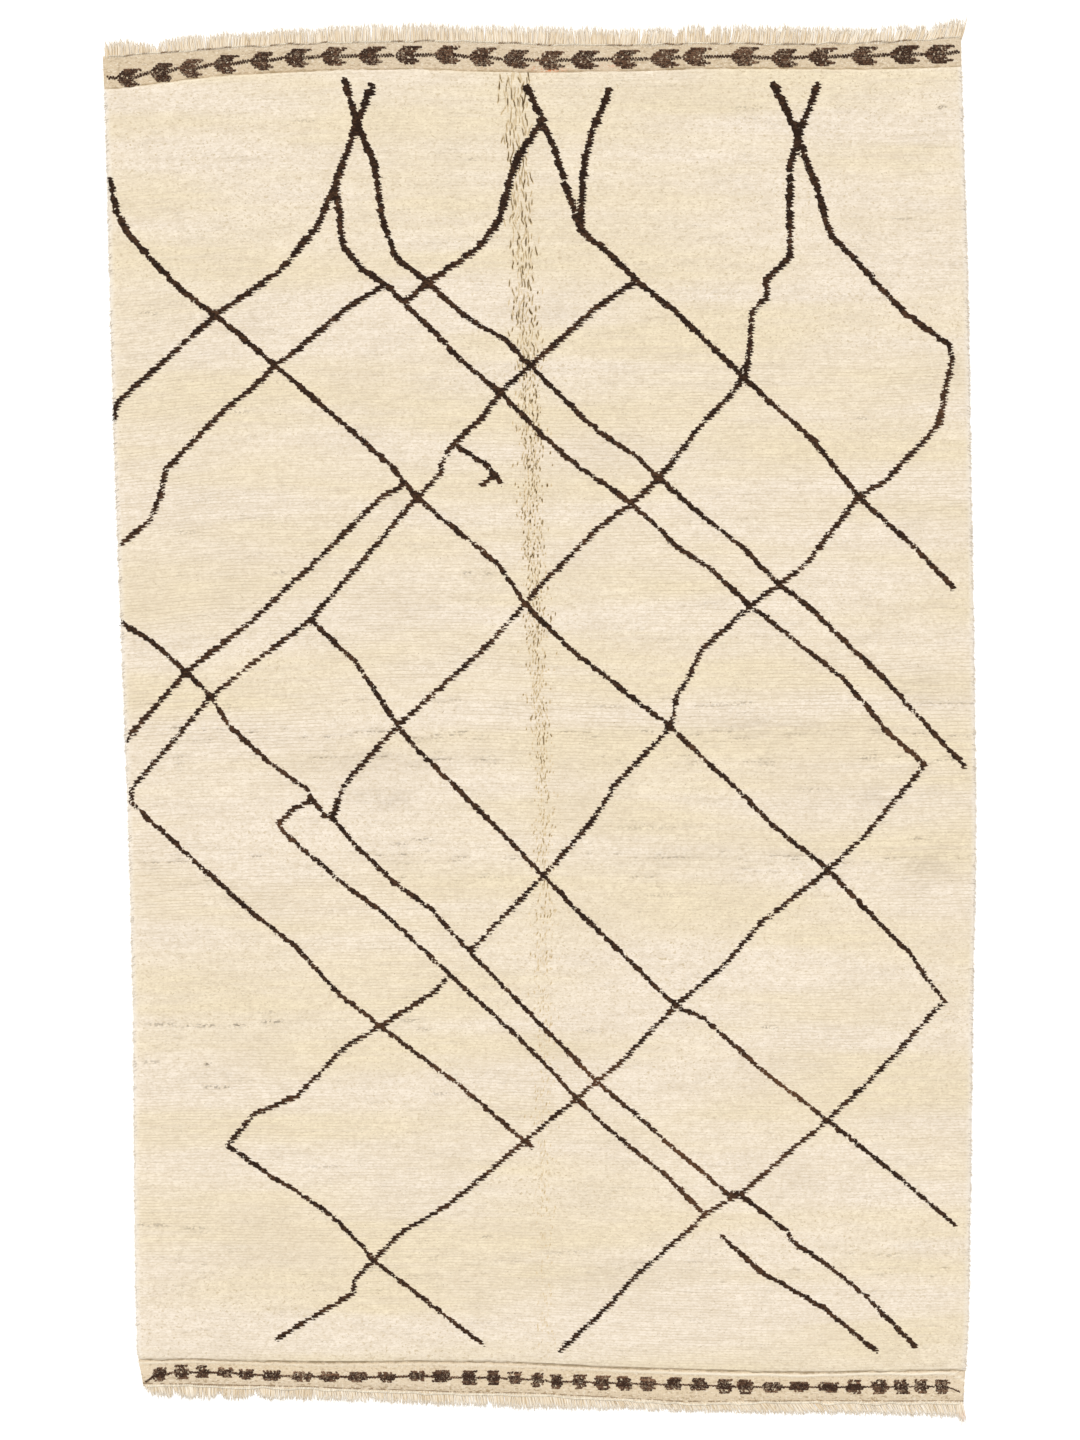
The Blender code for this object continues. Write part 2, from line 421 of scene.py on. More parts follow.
# %% Turning places of the brown lines
LATTICE_CM = (
    # From the top end down to the right.
    ((-34, 112), (-32, 105), (-29, 98), (-27, 86), (-25, 81), (-19.5, 76.5), (-12, 70),
     (-6, 66.5), (-1.5, 62), (8, 52.5), (17, 46), (21, 42.3), (27, 37), (36, 30), (42, 23.7),
     (48, 19), (60, 7.5), (67, 0), (74.3, -8)),
    ((-2, 111), (1, 104), (5, 93), (7.3, 85.5), (12, 82), (17, 77), (24, 71.3), (36, 59.8),
     (48, 49), (56, 39), (66, 30), (72.3, 23.3)),
    ((-35.5, 94), (-34.3, 83), (-31, 79), (-27, 76.3), (-23.5, 73), (-11.5, 61), (-6.8, 57.5),
     (1, 49.3), (6, 45), (16, 38), (24, 30.5), (30, 26.5), (37, 20), (53, 7.5), (61, -2),
     (67.7, -7.8)),
    ((-75, 94.5), (-74, 89), (-72, 85), (-63, 75.7), (-56.6, 70.8), (-46, 62), (-32.7, 50.5),
     (-26, 44.5), (-21.3, 39), (-7.5, 27.5), (-2.5, 20.3), (6, 12), (23, -1.3), (42, -19.3),
     (50.6, -26.3), (65, -41), (70.8, -49.3)),
    ((-40, 17.5), (-32, 10), (-24.8, -1), (-21, -5.5), (-14.5, -11.8), (0.8, -27.2), (8, -34.7),
     (24, -50), (29, -52.3), (37, -59.5), (50.5, -70), (63, -80), (72.8, -88.3)),
    ((-73, 17), (-67.5, 13.5), (-61.8, 8.3), (-57.4, 4.1), (-54, -1.3), (-47, -7.6),
     (-40.5, -12.3), (-37.5, -17)),
    ((-71.3, -14.7), (-61, -24), (-50.5, -33.5), (-42.5, -39.8), (-35, -48), (-27.8, -53.5),
     (-12, -65.5), (-2.5, -73.8), (-1.3, -74.7)),
    ((-45, -19.4), (-33.5, -29.3), (-27.5, -33.5), (-14, -46), (0, -59), (6.6, -66.2),
     (14.5, -73.7), (21, -78.7), (29.2, -86.5)),
    ((-35.3, -15.5), (-36.3, -17), (-32, -22.2), (-24.5, -29), (-19, -33), (-12.2, -40.7),
     (-1, -52), (10.2, -63.4), (33.2, -83.2), (35.2, -83), (43.6, -89.5), (44, -91), (50, -95),
     (57.5, -101), (65.8, -109.7)),
    ((-54.5, -74.5), (-46.5, -80), (-36.5, -86.5), (-31.3, -91.7), (-29, -94.6), (-24, -98.3),
     (-9.8, -109.3)),
    ((32, -90.3), (39.5, -97), (50, -103), (59, -110.4)),
    ((-15, 48.4), (-8.8, 44.2), (-6.8, 41.5)),
    # From the top end down to the left.
    ((-29.3, 111), (-32, 104), (-35.5, 94), (-39, 86), (-45, 79), (-56.6, 70.8), (-65, 63.5),
     (-74, 55.2), (-74.2, 53)),
    ((0.5, 104.8), (-4, 98), (-7, 87.5), (-10.5, 82.8), (-19.5, 76.5), (-23.5, 73)),
    ((12.3, 110.3), (9.2, 103), (7.8, 96), (7.3, 85.5)),
    ((49, 111.3), (46, 104), (44, 97), (44, 81), (39.7, 77), (39.8, 74), (37.3, 71.3),
     (37, 65), (36, 59.8), (27, 50), (22.5, 44), (21, 42.3), (16.5, 38), (10, 33.3), (1.2, 24.3),
     (-2.5, 20.3), (-8, 14), (-17.3, 5.5), (-24.8, -1), (-34.4, -11.7), (-36.3, -17)),
    ((41, 111.3), (44.7, 104), (48.6, 93), (51, 85), (56.5, 79.3), (64, 71.3), (72, 65.5),
     (72.3, 63.3), (70.6, 55), (70, 52), (61, 42), (56, 39), (47, 27.6), (42, 23.7), (37, 20),
     (28.3, 12), (26.5, 8), (24, 4), (23, -1.3), (13, -11.7), (9, -18), (0.8, -27.2),
     (-12.2, -40.7)),
    ((17, 77), (9.5, 71.7), (-1.5, 62), (-6.8, 57.5), (-10, 53), (-15, 48.4), (-17, 45),
     (-17.3, 43), (-21.3, 39), (-40, 17.5), (-50, 10), (-57.4, 4.1), (-71.3, -12),
     (-71.3, -14.7)),
    ((-27, 76.3), (-32, 73.3), (-46, 62), (-55.2, 54), (-65.3, 44), (-66, 40), (-68, 35),
     (-73, 30.7)),
    ((-24, 41), (-27, 39.4), (-40.5, 26.5), (-50.7, 17), (-61.8, 8.3), (-72.2, -3.5)),
    ((67.7, -7.8), (57, -20.3), (50.6, -26.3), (39, -35.4), (32.3, -43), (24, -50),
     (14, -60), (6.6, -66.2), (-2.5, -73.8), (-15.5, -84.7), (-23.7, -89.3), (-29, -94.6),
     (-32.3, -98), (-32.5, -100.3), (-45.8, -108.3)),
    ((-40, -14.2), (-43.3, -15.7), (-45.6, -18.3), (-45, -19.4)),
    ((-16.3, -45.3), (-18.3, -47.7), (-27.8, -53.5), (-33.6, -57), (-42.5, -65.7),
     (-50, -69), (-54.5, -74.5)),
    ((70.8, -49.3), (59.4, -61.7), (50.5, -70), (35.2, -83), (29.2, -86.5), (16.5, -97.7),
     (11, -103.7), (3.8, -110.3)),
    ((-7.6, 43), (-10, 41.2)),
)
runs = [np.array(run) / 100 for run in LATTICE_CM]
segments = np.concatenate([np.hstack([run[:-1], run[1:]]) for run in runs])
print(len(runs), "brown lines of", len(segments), "straight parts")

# %% [markdown]
# ## How far each knot is from a brown line
# A knot is brown if it lies within half a line's width of it. The distance is worked
# out once for the grid, part by part, looking only at the points near each part. The
# lines are thick and dark near the top end, where the weaver began, and finer below.
# Each row starts and stops its brown a little early or late, and that gives the edges
# their steps. A groove shows the colour of the row below it, a little narrower. Every
# knot also slants, with its head to the left. So a line that runs down to the left is
# toothed on both sides, and one that runs down to the right is smoother.

# %% Distance to the lattice
REACH = 0.03                  # beyond this, a point is simply far from the line
HALF_WIDTH_ALONG = (
    # along, half-width
    (-1.2, 0.0042), (-0.5, 0.0043), (-0.1, 0.0047), (0.5, 0.0050), (0.8, 0.0058),
    (0.95, 0.0067), (1.2, 0.0069),
)
THICK_SPOTS_CM = (
    # across, along, radius, how much is added to the half-width
    (-7.7, 42.9, 0.8, 0.36), (-6.6, 41.5, 0.6, 0.32), (-9.9, 41.3, 0.6, 0.22),
    (69.9, 53.3, 0.9, 0.30), (69.9, 52.3, 0.8, 0.25), (65.3, -109.2, 0.8, 0.20),
    (60.6, -104.2, 1.4, 0.16), (63.2, -107.0, 1.4, 0.16), (-10.0, 53.5, 1.4, 0.12),
    (-6.8, 57.5, 0.8, 0.15), (21.0, 42.3, 0.8, 0.15), (-21.3, 39.0, 0.8, 0.15),
    (56.0, 39.0, 0.8, 0.15), (-36.3, -17.0, 0.8, 0.20), (23.0, -1.3, 0.8, 0.15),
)
WIDTH_UNEVEN = 0.12
LEAST_HALF_WIDTH = 0.0039
ROW_SHIFT = 0.0016            # how early or late a row starts its brown
LINE_WANDER = 0.0013
GROOVE_CUT = 0.18             # how much of its half-width the brown loses in a groove
KNOT_SLANT = 0.0016           # how far a knot's foot lies right, and its head left
BEAD_STEP, BEAD_SWELL = 0.019, 0.0012
BEADED_ALONG = ((-1.2, 0.30), (0.5, 0.40), (0.8, 1.0), (1.2, 1.0))


def distance_to_lines(x, y, reach=REACH):
    """Distance from each point of a grid to the nearest line, up to reach, and on which side."""
    nearest = np.full(x.shape, reach)
    side = np.ones(x.shape)
    row_low, row_high = y.min(axis=1), y.max(axis=1)
    for x1, y1, x2, y2 in segments:
        rows = np.nonzero((row_high > min(y1, y2) - reach) & (row_low < max(y1, y2) + reach))[0]
        if not len(rows):
            continue
        block = slice(rows[0], rows[-1] + 1)
        near = (x[block] > min(x1, x2) - reach) & (x[block] < max(x1, x2) + reach)
        columns = np.nonzero(near.any(axis=0))[0]
        if not len(columns):
            continue
        part = (block, slice(columns[0], columns[-1] + 1))
        dx, dy = x2 - x1, y2 - y1
        share = ((x[part] - x1) * dx + (y[part] - y1) * dy) / (dx * dx + dy * dy)
        share = np.clip(share, 0.0, 1.0)
        gap = np.hypot(x[part] - x1 - share * dx, y[part] - y1 - share * dy)
        turned = (x[part] - x1) * dy - (y[part] - y1) * dx
        side[part] = np.where(gap < nearest[part], np.where(turned < 0, -1.0, 1.0), side[part])
        nearest[part] = np.minimum(nearest[part], gap)
    return nearest, side


def inside_line(x, y, row):
    """How far inside a brown line each point is. It is negative outside."""
    shift = ROW_SHIFT * soft_noise(x, row * 1.0, 0.035, 0.9, 31)
    wander_x = LINE_WANDER * soft_noise(x, y, 0.055, 0.045, 32)
    wander_y = LINE_WANDER * soft_noise(x, y, 0.060, 0.050, 33)
    width = read(HALF_WIDTH_ALONG, y)
    width = width * (1 + WIDTH_UNEVEN * soft_noise(x, y, 0.045, 0.03, 34)
                     + 0.26 * soft_noise(x, row * 1.0, 0.02, 0.9, 35))
    width = np.maximum(width, LEAST_HALF_WIDTH)
    beads = np.cos(2 * np.pi * y / BEAD_STEP + 3.0 * soft_noise(x, y, 0.11, 0.11, 36))
    width = width + BEAD_SWELL * np.maximum(beads, -0.3) * read(BEADED_ALONG, y)
    for across, along, radius, added in THICK_SPOTS_CM:
        away = np.hypot(x * 100 - across, y * 100 - along) / radius
        width = width + added / 100 * np.exp(-away ** 2)
    return width - distance_to_lines(x + shift + wander_x, y + wander_y)[0]


colour_rows = np.where(line_kinds == 0, np.maximum(line_rows - 1, 0), line_rows)
row_lip = pile_y[np.minimum(colour_rows * len(ROW_LINES) + 1, len(line_rows) - 1)]
slanted_x = pile_x + KNOT_SLANT * np.where(line_kinds == 0, 1, -1)[:, None]
pile_line = inside_line(slanted_x, row_lip, np.broadcast_to(colour_rows[:, None], pile_x.shape))
groove_cut = GROOVE_CUT * read(HALF_WIDTH_ALONG, pile_y)
pile_line = pile_line - groove_cut * (line_kinds == 0)[:, None]
row_number = np.broadcast_to(line_rows[:, None] * 1.0, pile_x.shape)
print("brown knots:", round(100 * float((pile_line > 0).mean()), 1), "% of the pile")

# %% [markdown]
# ## Where the pile parts
# Two kinds of gap show in the pile. Along the old fold, tufts fall away from each other
# in short upright slits, which stand roughly in columns and get fewer and finer towards
# the bottom end. A second, fainter fold ran across the rug just below its middle, and
# there some rows open into long level gaps. Both are given as a depth of 0 to about 1,
# which lowers the surface, and the material paints the deeper parts dark as their shade.

# %% Slits along the fold
SLIT_REACH = ((-1.15, 0.013), (0.0, 0.015), (0.5, 0.017), (0.8, 0.015), (1.1, 0.019))
SLIT_SHARE = (
    (-1.15, 0.34), (-0.5, 0.46), (0.1, 0.75), (0.5, 0.95), (0.75, 1.2), (1.13, 1.3), (1.14, 0.1),
)
SLIT_DEPTHS = ((-1.15, 0.42), (-0.5, 0.55), (0.1, 0.90), (0.5, 0.98), (0.75, 1.04), (1.1, 1.08))
SLIT_HALF_LENGTHS = ((-1.15, 0.0024), (0.5, 0.0027), (0.68, 0.0044), (0.9, 0.0078), (1.1, 0.0095))
SLIT_COLUMNS = range(-7, 8)
SLIT_PITCH = 0.0052           # from one column of slits to the next
SLIT_HALF_WIDTH = 0.0011
SLIT_SPACING = 2.35           # from one slit to the next up a column, in half-lengths
SLIT_DEPTH = 0.0024
SLIT_SWAY = (
    # strength, size across, size along, seed
    (0.0026, 0.022, 0.020, 42), (0.0017, 0.011, 0.0075, 43),
)
FOLD_DEPTH = 0.0011

fold_sway = 0.003 * soft_noise(0 * pile_y, pile_y, 1.0, 0.12, 40)
from_fold = pile_x - fold_line(pile_y) - fold_sway
slit_sway = layers_of_noise(pile_x, pile_y, SLIT_SWAY)
slit_zone = slice(roll_count + left_count, roll_count + left_count + slit_count)
zone_across = (from_fold + slit_sway)[:, slit_zone]
zone_along = pile_y[:, slit_zone]
line_along_fold = zone_along[:, slit_count // 2]


def slit_places(rng):
    """Slits (across from the fold, along, half-length, slant, depth), column by column."""
    for column in SLIT_COLUMNS:
        along = line_along_fold[0] + rng.uniform(0, 0.01)
        while along < line_along_fold[-1]:
            half = read(SLIT_HALF_LENGTHS, along) * rng.uniform(0.6, 1.5)
            across = (column + rng.normal(0, 0.24)) * SLIT_PITCH
            share = read(SLIT_SHARE, along) * math.exp(-(across / read(SLIT_REACH, along)) ** 2)
            if rng.uniform(0, 1) < 1.5 * share:
                depth = read(SLIT_DEPTHS, along) * rng.uniform(0.35, 1.15)
                yield across, along, half, rng.normal(0, 0.16), depth
            along += half * SLIT_SPACING * rng.uniform(0.7, 1.2)


zone_slit = np.zeros_like(zone_across)
slit_list = list(slit_places(np.random.default_rng(44)))
for across, along, half, slant, depth in slit_list:
    low, high = np.searchsorted(line_along_fold, (along - 1.2 * half, along + 1.2 * half))
    rows = slice(low, high)
    up = zone_along[rows] - along
    aside = np.abs(zone_across[rows] - across - slant * up)
    shape = np.clip(1.35 - aside / SLIT_HALF_WIDTH, 0, 1) * np.clip(1.3 - (up / half) ** 2, 0, 1)
    zone_slit[rows] = np.maximum(zone_slit[rows], depth * shape)
slit = np.zeros_like(pile_y)
slit[:, slit_zone] = zone_slit
print(len(slit_list), "slits,", int((slit > 0.2).sum()), "points in them")

# %% Rows that open
OPEN_ROWS = (
    # along, spread, strength
    (0.030, 0.012, 0.30),
    (-0.022, 0.013, 0.70),
    (-0.066, 0.012, 0.55),
    (-0.240, 0.016, 0.55),
    (-0.272, 0.008, 0.50),
    (-0.960, 0.030, 0.30),
)
GAP_DEPTH = 0.0022

crease = np.zeros_like(pile_y)
for along, spread, strength in OPEN_ROWS:
    crease += strength * np.exp(-((pile_y - along) / spread) ** 2)
strokes = layers_of_noise(pile_x, row_number, ((1.0, 0.045, 0.9, 51), (0.5, 0.014, 0.9, 52)))
open_row = np.clip((strokes - 0.62 + 0.5 * crease) * 2.0, 0, 1) * np.clip(crease + 0.26, 0, 0.8)
open_row *= (line_kinds[:, None] == 0) * (1 - np.exp(-(from_fold / 0.040) ** 4))
print("open rows:", int((open_row > 0.2).sum()), "points")

# %% [markdown]
# ## Grey flecks
# The fleeces weren't sorted with care, so here and there a few knots of one row are
# greyer than their neighbours. Most are short dashes, alone or two or three in a line.
# They are listed one by one, and feathered so that no dash has a hard end.

# %% Flecks
FLECKS_CM = (
    # across, along, half-length, strength
    (19.0, -18.7, 5.0, 0.40), (40.4, -53.6, 1.4, 0.75), (9.0, -54.1, 1.4, 0.55),
    (-22.4, -52.4, 2.0, 0.55), (-20.4, -54.0, 1.4, 0.50), (-68.3, 71.3, 1.6, 0.60),
    (56.6, 53.0, 1.4, 0.45), (-45.4, 26.0, 1.2, 0.55), (-8.9, 25.8, 1.0, 0.55),
    (-12.4, 25.9, 0.9, 0.75), (-20.3, -20.7, 2.0, 0.60), (-24.3, -21.6, 1.5, 0.50),
    (66.6, -20.5, 2.0, 0.50), (-56.4, -64.1, 2.6, 0.75), (-17.4, -65.2, 1.5, 0.50),
    (-9.3, -90.3, 1.0, 0.50), (-67.9, -88.2, 3.0, 0.55), (-60.4, -88.7, 2.0, 0.50),
    (57.5, -6.5, 1.5, 0.50), (-52.8, 54.1, 2.5, 0.45), (-11.4, 98.4, 1.0, 0.60),
    (36.7, 107.4, 3.0, 0.40), (70.6, 107.4, 0.7, 1.00), (-66.0, -53.1, 2.6, 0.60),
    (-59.5, -53.3, 3.4, 0.70), (-52.8, -53.2, 1.2, 0.85), (-46.8, -52.6, 1.8, 0.80),
    (-47.8, -50.9, 1.2, 0.50), (-67.8, -59.7, 1.8, 0.55), (-58.0, -60.0, 0.5, 0.95),
    (-32.6, -56.4, 0.4, 0.95), (-41.0, 105.0, 2.2, 0.35), (22.0, -30.5, 4.0, 0.35),
    (48.0, -12.0, 3.0, 0.35), (33.0, 3.0, 3.5, 0.40), (12.0, 2.6, 3.0, 0.35),
    (5.0, -93.0, 4.0, 0.35), (-38.0, -78.0, 3.0, 0.35), (61.0, -93.5, 2.5, 0.40),
    (-62.0, 33.0, 2.0, 0.45), (30.0, 66.0, 2.0, 0.35), (64.0, 88.0, 2.5, 0.40),
)
FLECK_HALF_HEIGHT = 0.0029
SMUDGES_CM = (
    # across, along, half-width, half-height, strength
    (-27.4, -13.7, 5.0, 2.2, 0.30), (59.6, -13.7, 6.0, 2.0, 0.28), (68.6, -25.7, 5.0, 3.0, 0.30),
    (40.0, -1.0, 16.0, 2.0, 0.26), (12.0, -97.0, 12.0, 3.0, 0.22), (-30.0, -7.0, 14.0, 2.4, 0.20),
    (66.0, 6.0, 6.0, 3.5, 0.22), (30.0, -24.0, 14.0, 2.2, 0.18),
)

fleck = np.zeros_like(pile_y)
for across, along, half_length, strength in FLECKS_CM:
    fleck += strength * np.exp(-((pile_x * 100 - across) / half_length) ** 4
                               - ((pile_y - along / 100) / FLECK_HALF_HEIGHT) ** 2)
smudge = soft_spots(pile_x * 100, pile_y * 100, SMUDGES_CM)
# The open rows join the grey flecks here: their darkening is painted shade in the gaps.
grey_and_gap_shade = np.clip(np.maximum(fleck, 0.7 * open_row), 0, 1)
print(len(FLECKS_CM), "flecks and", len(SMUDGES_CM), "smudges")

# %% [markdown]
# ## The height of the pile
# The height is a sum of what each thing does to it: the rows, the single knots, the
# slits and gaps, the old fold's trough, thicker brown yarn, and the slow swell of a
# rug that has been walked on. Where the pile lies combed, the material paints shade
# in the row grooves, so its rows show as lines.

# %% Pile height
KNOT_UNEVEN = 0.00042
FIBRE_UNEVEN = 0.00016
BROWN_STANDS = 0.0005
SIDE_LIGHT_RUN = 0.006         # how far in from the sides the painted light reaches
COMBED_ROW_SHADE_ALONG = ((-1.2, 0.75), (-0.2, 0.90), (0.5, 0.90), (0.8, 0.50), (1.1, 0.35))
END_DROP, END_DROP_RUN = 0.0026, 0.008    # the pile sinks towards both ends

combed_row_shade = read(COMBED_ROW_SHADE_ALONG, pile_y)
combed_row_shade *= np.clip(0.75 + 0.65 * soft_noise(pile_x, pile_y, 0.24, 0.10, 66), 0.1, 1.2)
low_edge, high_edge = bottom_step(pile_x), top_step(pile_x)
knot_rng = np.random.default_rng(61)
knots = knot_rng.uniform(-1, 1, (row_count + 1, column_count))[line_rows]
fibres = knot_rng.uniform(-1, 1, pile_x.shape)
row_strength = 0.75 + 0.40 * soft_noise(pile_x, pile_y, 0.05, 0.02, 62)
row_strength += 0.25 * soft_noise(pile_x, row_number, 0.018, 0.9, 65)
relief = line_height[:, None] * row_strength
relief += KNOT_UNEVEN * knots * (line_kinds[:, None] > 0)
relief += FIBRE_UNEVEN * fibres
relief += 0.0007 * soft_noise(pile_x, pile_y, 0.33, 0.24, 63)
relief += 0.00035 * soft_noise(pile_x, pile_y, 0.08, 0.06, 64)
relief += BROWN_STANDS * np.clip(pile_line / 0.003, 0, 1)
relief -= FOLD_DEPTH * np.exp(-(from_fold / 0.02) ** 2)
relief -= SLIT_DEPTH * slit + GAP_DEPTH * open_row
from_side = np.minimum(pile_x - left_side(pile_y), right_side(pile_y) - pile_x)
side_light_share = np.exp(-(from_side / SIDE_LIGHT_RUN) ** 2)

column_level = np.full(column_count, PILE_LEVEL)
column_ease = np.ones(column_count)
end_drop = END_DROP * np.exp(-np.minimum(pile_y - low_edge, high_edge - pile_y) / END_DROP_RUN)
for index, (inset, height) in enumerate(SIDE_ROLL):
    column_level[index] = column_level[-1 - index] = height
    column_ease[index] = column_ease[-1 - index] = index / roll_count
pile_z = column_level + (relief - end_drop) * column_ease
print("pile from", round(pile_z.min() * 1000, 1), "to", round(pile_z.max() * 1000, 1), "mm")

# %% [markdown]
# ## The last rows at each end
# At both ends the last tufts lean over the flat weave, so the pile ends in a small
# rounded lip. Three more lines of points carry each lip down to the weave.

# %% Lips at the ends
LIP = (
    # run out over the weave, height
    (0.0009, 0.0078),
    (0.0014, 0.0056),
    (0.0002, 0.0030),
)
LIP_UNEVEN = (
    # strength, size across, size along, seed
    (0.0014, 0.011, 0.5, 71), (0.0022, 0.055, 0.5, 72),
)


def lip_lines(edge_x, edge_y, outward):
    """Lines of points that roll the pile down to the weave, inner line first."""
    lines = []
    uneven = layers_of_noise(edge_x, edge_y, LIP_UNEVEN)
    for run, height in LIP:
        level = np.minimum(height, column_level * height / PILE_LEVEL + 0.0004)
        lines.append((edge_x, edge_y + outward * (run + uneven), level))
    return lines


low_lip = lip_lines(pile_x[0], pile_y[0], -1)[::-1]
high_lip = lip_lines(pile_x[-1], pile_y[-1], 1)
lines = zip(*low_lip, (pile_x, pile_y, pile_z), *high_lip)
grid = np.stack([np.vstack(along_axis) for along_axis in lines], axis=2)


def with_lips(values):
    """Repeats a grid's first and last line for the lips."""
    return np.pad(values, ((len(LIP), len(LIP)), (0, 0)), mode="edge")


grid_values = {title: with_lips(values) for title, values in (
    ("line", pile_line), ("parting", slit), ("row", row_number + line_share[:, None]),
    ("grey_and_gap_shade", grey_and_gap_shade), ("smudge", smudge), ("side", side_light_share), ("combed_row_shade", combed_row_shade))}
print("whole pile grid", grid.shape)

# %% [markdown]
# ## From a grid to a closed mesh
# The pile is made in four lengths, because one mesh would be too heavy. Each is closed
# underneath with one long strip a line, hidden in the cloth, and with a thin wall at
# each end. A flat map laid over the rug from above gives every face its place for
# baking, and the hidden faces share a thin strip of it. The normals come from the whole
# grid, so no line shows where two lengths meet.

# %% Mesh helpers
HIDDEN_V = 0.985              # the strip of the map that holds hidden faces


def keep_values(mesh, title, values):
    """Keeps a named value at every point of a mesh."""
    layer = mesh.attributes.new(title, "FLOAT", "POINT")
    layer.data.foreach_set("value", np.asarray(values, np.float32).ravel())


def finish_mesh(name, vertices, faces, attributes):
    """A smooth mesh object with named values at its points."""
    mesh = bpy.data.meshes.new(name)
    mesh.from_pydata(vertices, [], faces)
    for title, values in attributes.items():
        keep_values(mesh, title, values)
    mesh.shade_smooth()
    return new_object(name, mesh)


def grid_faces(rows, columns, start=0, flip=False):
    """Quads of a grid whose points are numbered line by line."""
    index = start + np.arange(rows * columns).reshape(rows, columns)
    corners = (index[:-1, :-1], index[:-1, 1:], index[1:, 1:], index[1:, :-1])
    quads = np.stack([corner.ravel() for corner in corners], axis=1)
    return quads[:, ::-1] if flip else quads


def of_corners(mesh, what):
    """The vertex_index or edge_index of every face's corners."""
    numbers = np.empty(len(mesh.loops), int)
    mesh.loops.foreach_get(what, numbers)
    return numbers


def lay_map(piece, map_of_vertex, hidden_from):
    """Writes the baking map. Faces from hidden_from on get its hidden strip and sharp edges."""
    mesh = piece.data
    first = mesh.polygons[hidden_from].loop_start
    places = map_of_vertex[of_corners(mesh, "vertex_index")]
    places[first:, 1] = HIDDEN_V + (1 - HIDDEN_V) * places[first:, 1]
    mesh.uv_layers.new(name="OFBake").data.foreach_set("uv", places.ravel())
    sharp = np.zeros(len(mesh.edges), bool)
    sharp[of_corners(mesh, "edge_index")[first:]] = True
    mesh.attributes.new("sharp_edge", "BOOLEAN", "EDGE").data.foreach_set("value", sharp)


# %% Pile in four lengths
PILE_LENGTHS = 4


whole_normals = np.cross(np.gradient(grid, axis=1), np.gradient(grid, axis=0))
whole_normals /= np.linalg.norm(whole_normals, axis=2, keepdims=True)


def keep_normals(mesh, normals, visible):
    """Gives the visible faces these normals, so that two lengths meet with no line."""
    per_corner = normals[of_corners(mesh, "vertex_index")]
    per_corner[mesh.polygons[visible].loop_start:] = 0.0
    mesh.normals_split_custom_set(per_corner.tolist())


def end_feet(line):
    """Points straight between the two ends of a line, one under each inner point of it."""
    share = (line[1:-1, :1] - line[0, 0]) / (line[-1, 0] - line[0, 0])
    return line[0] + share * (line[-1] - line[0])


def pile_length_mesh(name, first, last):
    """Closed mesh of the pile's lines first to last. Its ends are walls on a row of feet."""
    part = slice(first, last + 1)
    points = grid[part]
    rows, columns = points.shape[:2]
    index = np.arange(rows * columns).reshape(rows, columns)
    top = grid_faces(rows, columns)
    strips = np.stack([index[:-1, 0], index[1:, 0], index[1:, -1], index[:-1, -1]], 1).tolist()
    feet = np.arange(2 * (columns - 2)).reshape(2, -1) + rows * columns
    strips[0] += feet[0, ::-1].tolist()
    strips[-1] = strips[-1][:2] + feet[1].tolist() + strips[-1][2:]
    walls = []
    for line, below in ((index[0, ::-1], feet[0, ::-1]), (index[-1], feet[1])):
        walls.append([line[0], line[1], below[0]])
        walls += np.stack([line[1:-2], line[2:-1], below[1:], below[:-1]], 1).tolist()
        walls.append([line[-2], line[-1], below[-1]])
    vertices = np.vstack([points.reshape(-1, 3), end_feet(points[0]), end_feet(points[-1])])
    values = {title: np.concatenate([of[part].ravel(), of[first, 1:-1], of[last, 1:-1]])
              for title, of in grid_values.items()}
    piece = finish_mesh(name, vertices, top.tolist() + strips + walls, values)
    low, high = vertices.min(0), vertices.max(0)
    places = (vertices[:, :2] - low[:2]) / (high[:2] - low[:2])
    places[:, 1] *= HIDDEN_V - 0.005
    lay_map(piece, places, len(top))
    normals = np.zeros_like(vertices)
    normals[:rows * columns] = whole_normals[part].reshape(-1, 3)
    keep_normals(piece.data, normals, len(top))
    return piece


cuts = [len(LIP) + len(ROW_LINES) * round(row_count * part / PILE_LENGTHS)
        for part in range(1, PILE_LENGTHS)]
cuts = [0, *cuts, len(grid) - 1]
pile_pieces = [pile_length_mesh(f"pile_{part + 1}", cuts[part], cuts[part + 1])
               for part in range(PILE_LENGTHS)]
print("pile faces:", [len(piece.data.polygons) for piece in pile_pieces])

# %% [markdown]
# ## The cloth underneath
# The knots are tied on warps and wefts that also make the flat ends. This cloth is one
# closed sheet: nearly hidden under the pile, and ribbed where it shows. At the bottom
# end a firm raised line of weaving follows the last knots, and a shadow lies between
# the two. The underside is the same grid laid flat on the floor.

# %% Rows of the cloth
END_RIBS = 16                 # ribs of weaving across a flat end
RIB_LINES = ((0.0, -0.00022), (0.45, 0.00020))
FIELD_STEP = 0.014            # between lines under the pile
CLOTH_COLUMN = 0.0125
CLOTH_SIDE = (
    # inset from the side, height
    (0.0000, 0.0013),
    (0.0010, 0.0028),
    (0.0035, WEAVE_TOP),
)
HIDDEN_INSET = 0.003          # how far the side is set in under the pile
UNDER_PILE = 0.0045

field_count = round(float(top_step(0.0) - bottom_step(0.0)) / FIELD_STEP)
end_share = np.array([(rib + share) / END_RIBS for rib in range(END_RIBS)
                      for share, height in RIB_LINES])
rib_height = [height for share, height in RIB_LINES] * END_RIBS
cloth_share = np.concatenate([end_share, np.arange(field_count) / field_count, end_share, [1.0]])
cloth_zone = np.repeat([-1, 0, 1], [len(end_share), field_count, len(end_share) + 1])
cloth_rib = np.concatenate([rib_height, np.zeros(field_count), rib_height, [0.0]])[:, None]
at_bottom = (cloth_zone < 0)[:, None]
in_field = (cloth_zone == 0)[:, None]
print(len(cloth_share), "lines of cloth")


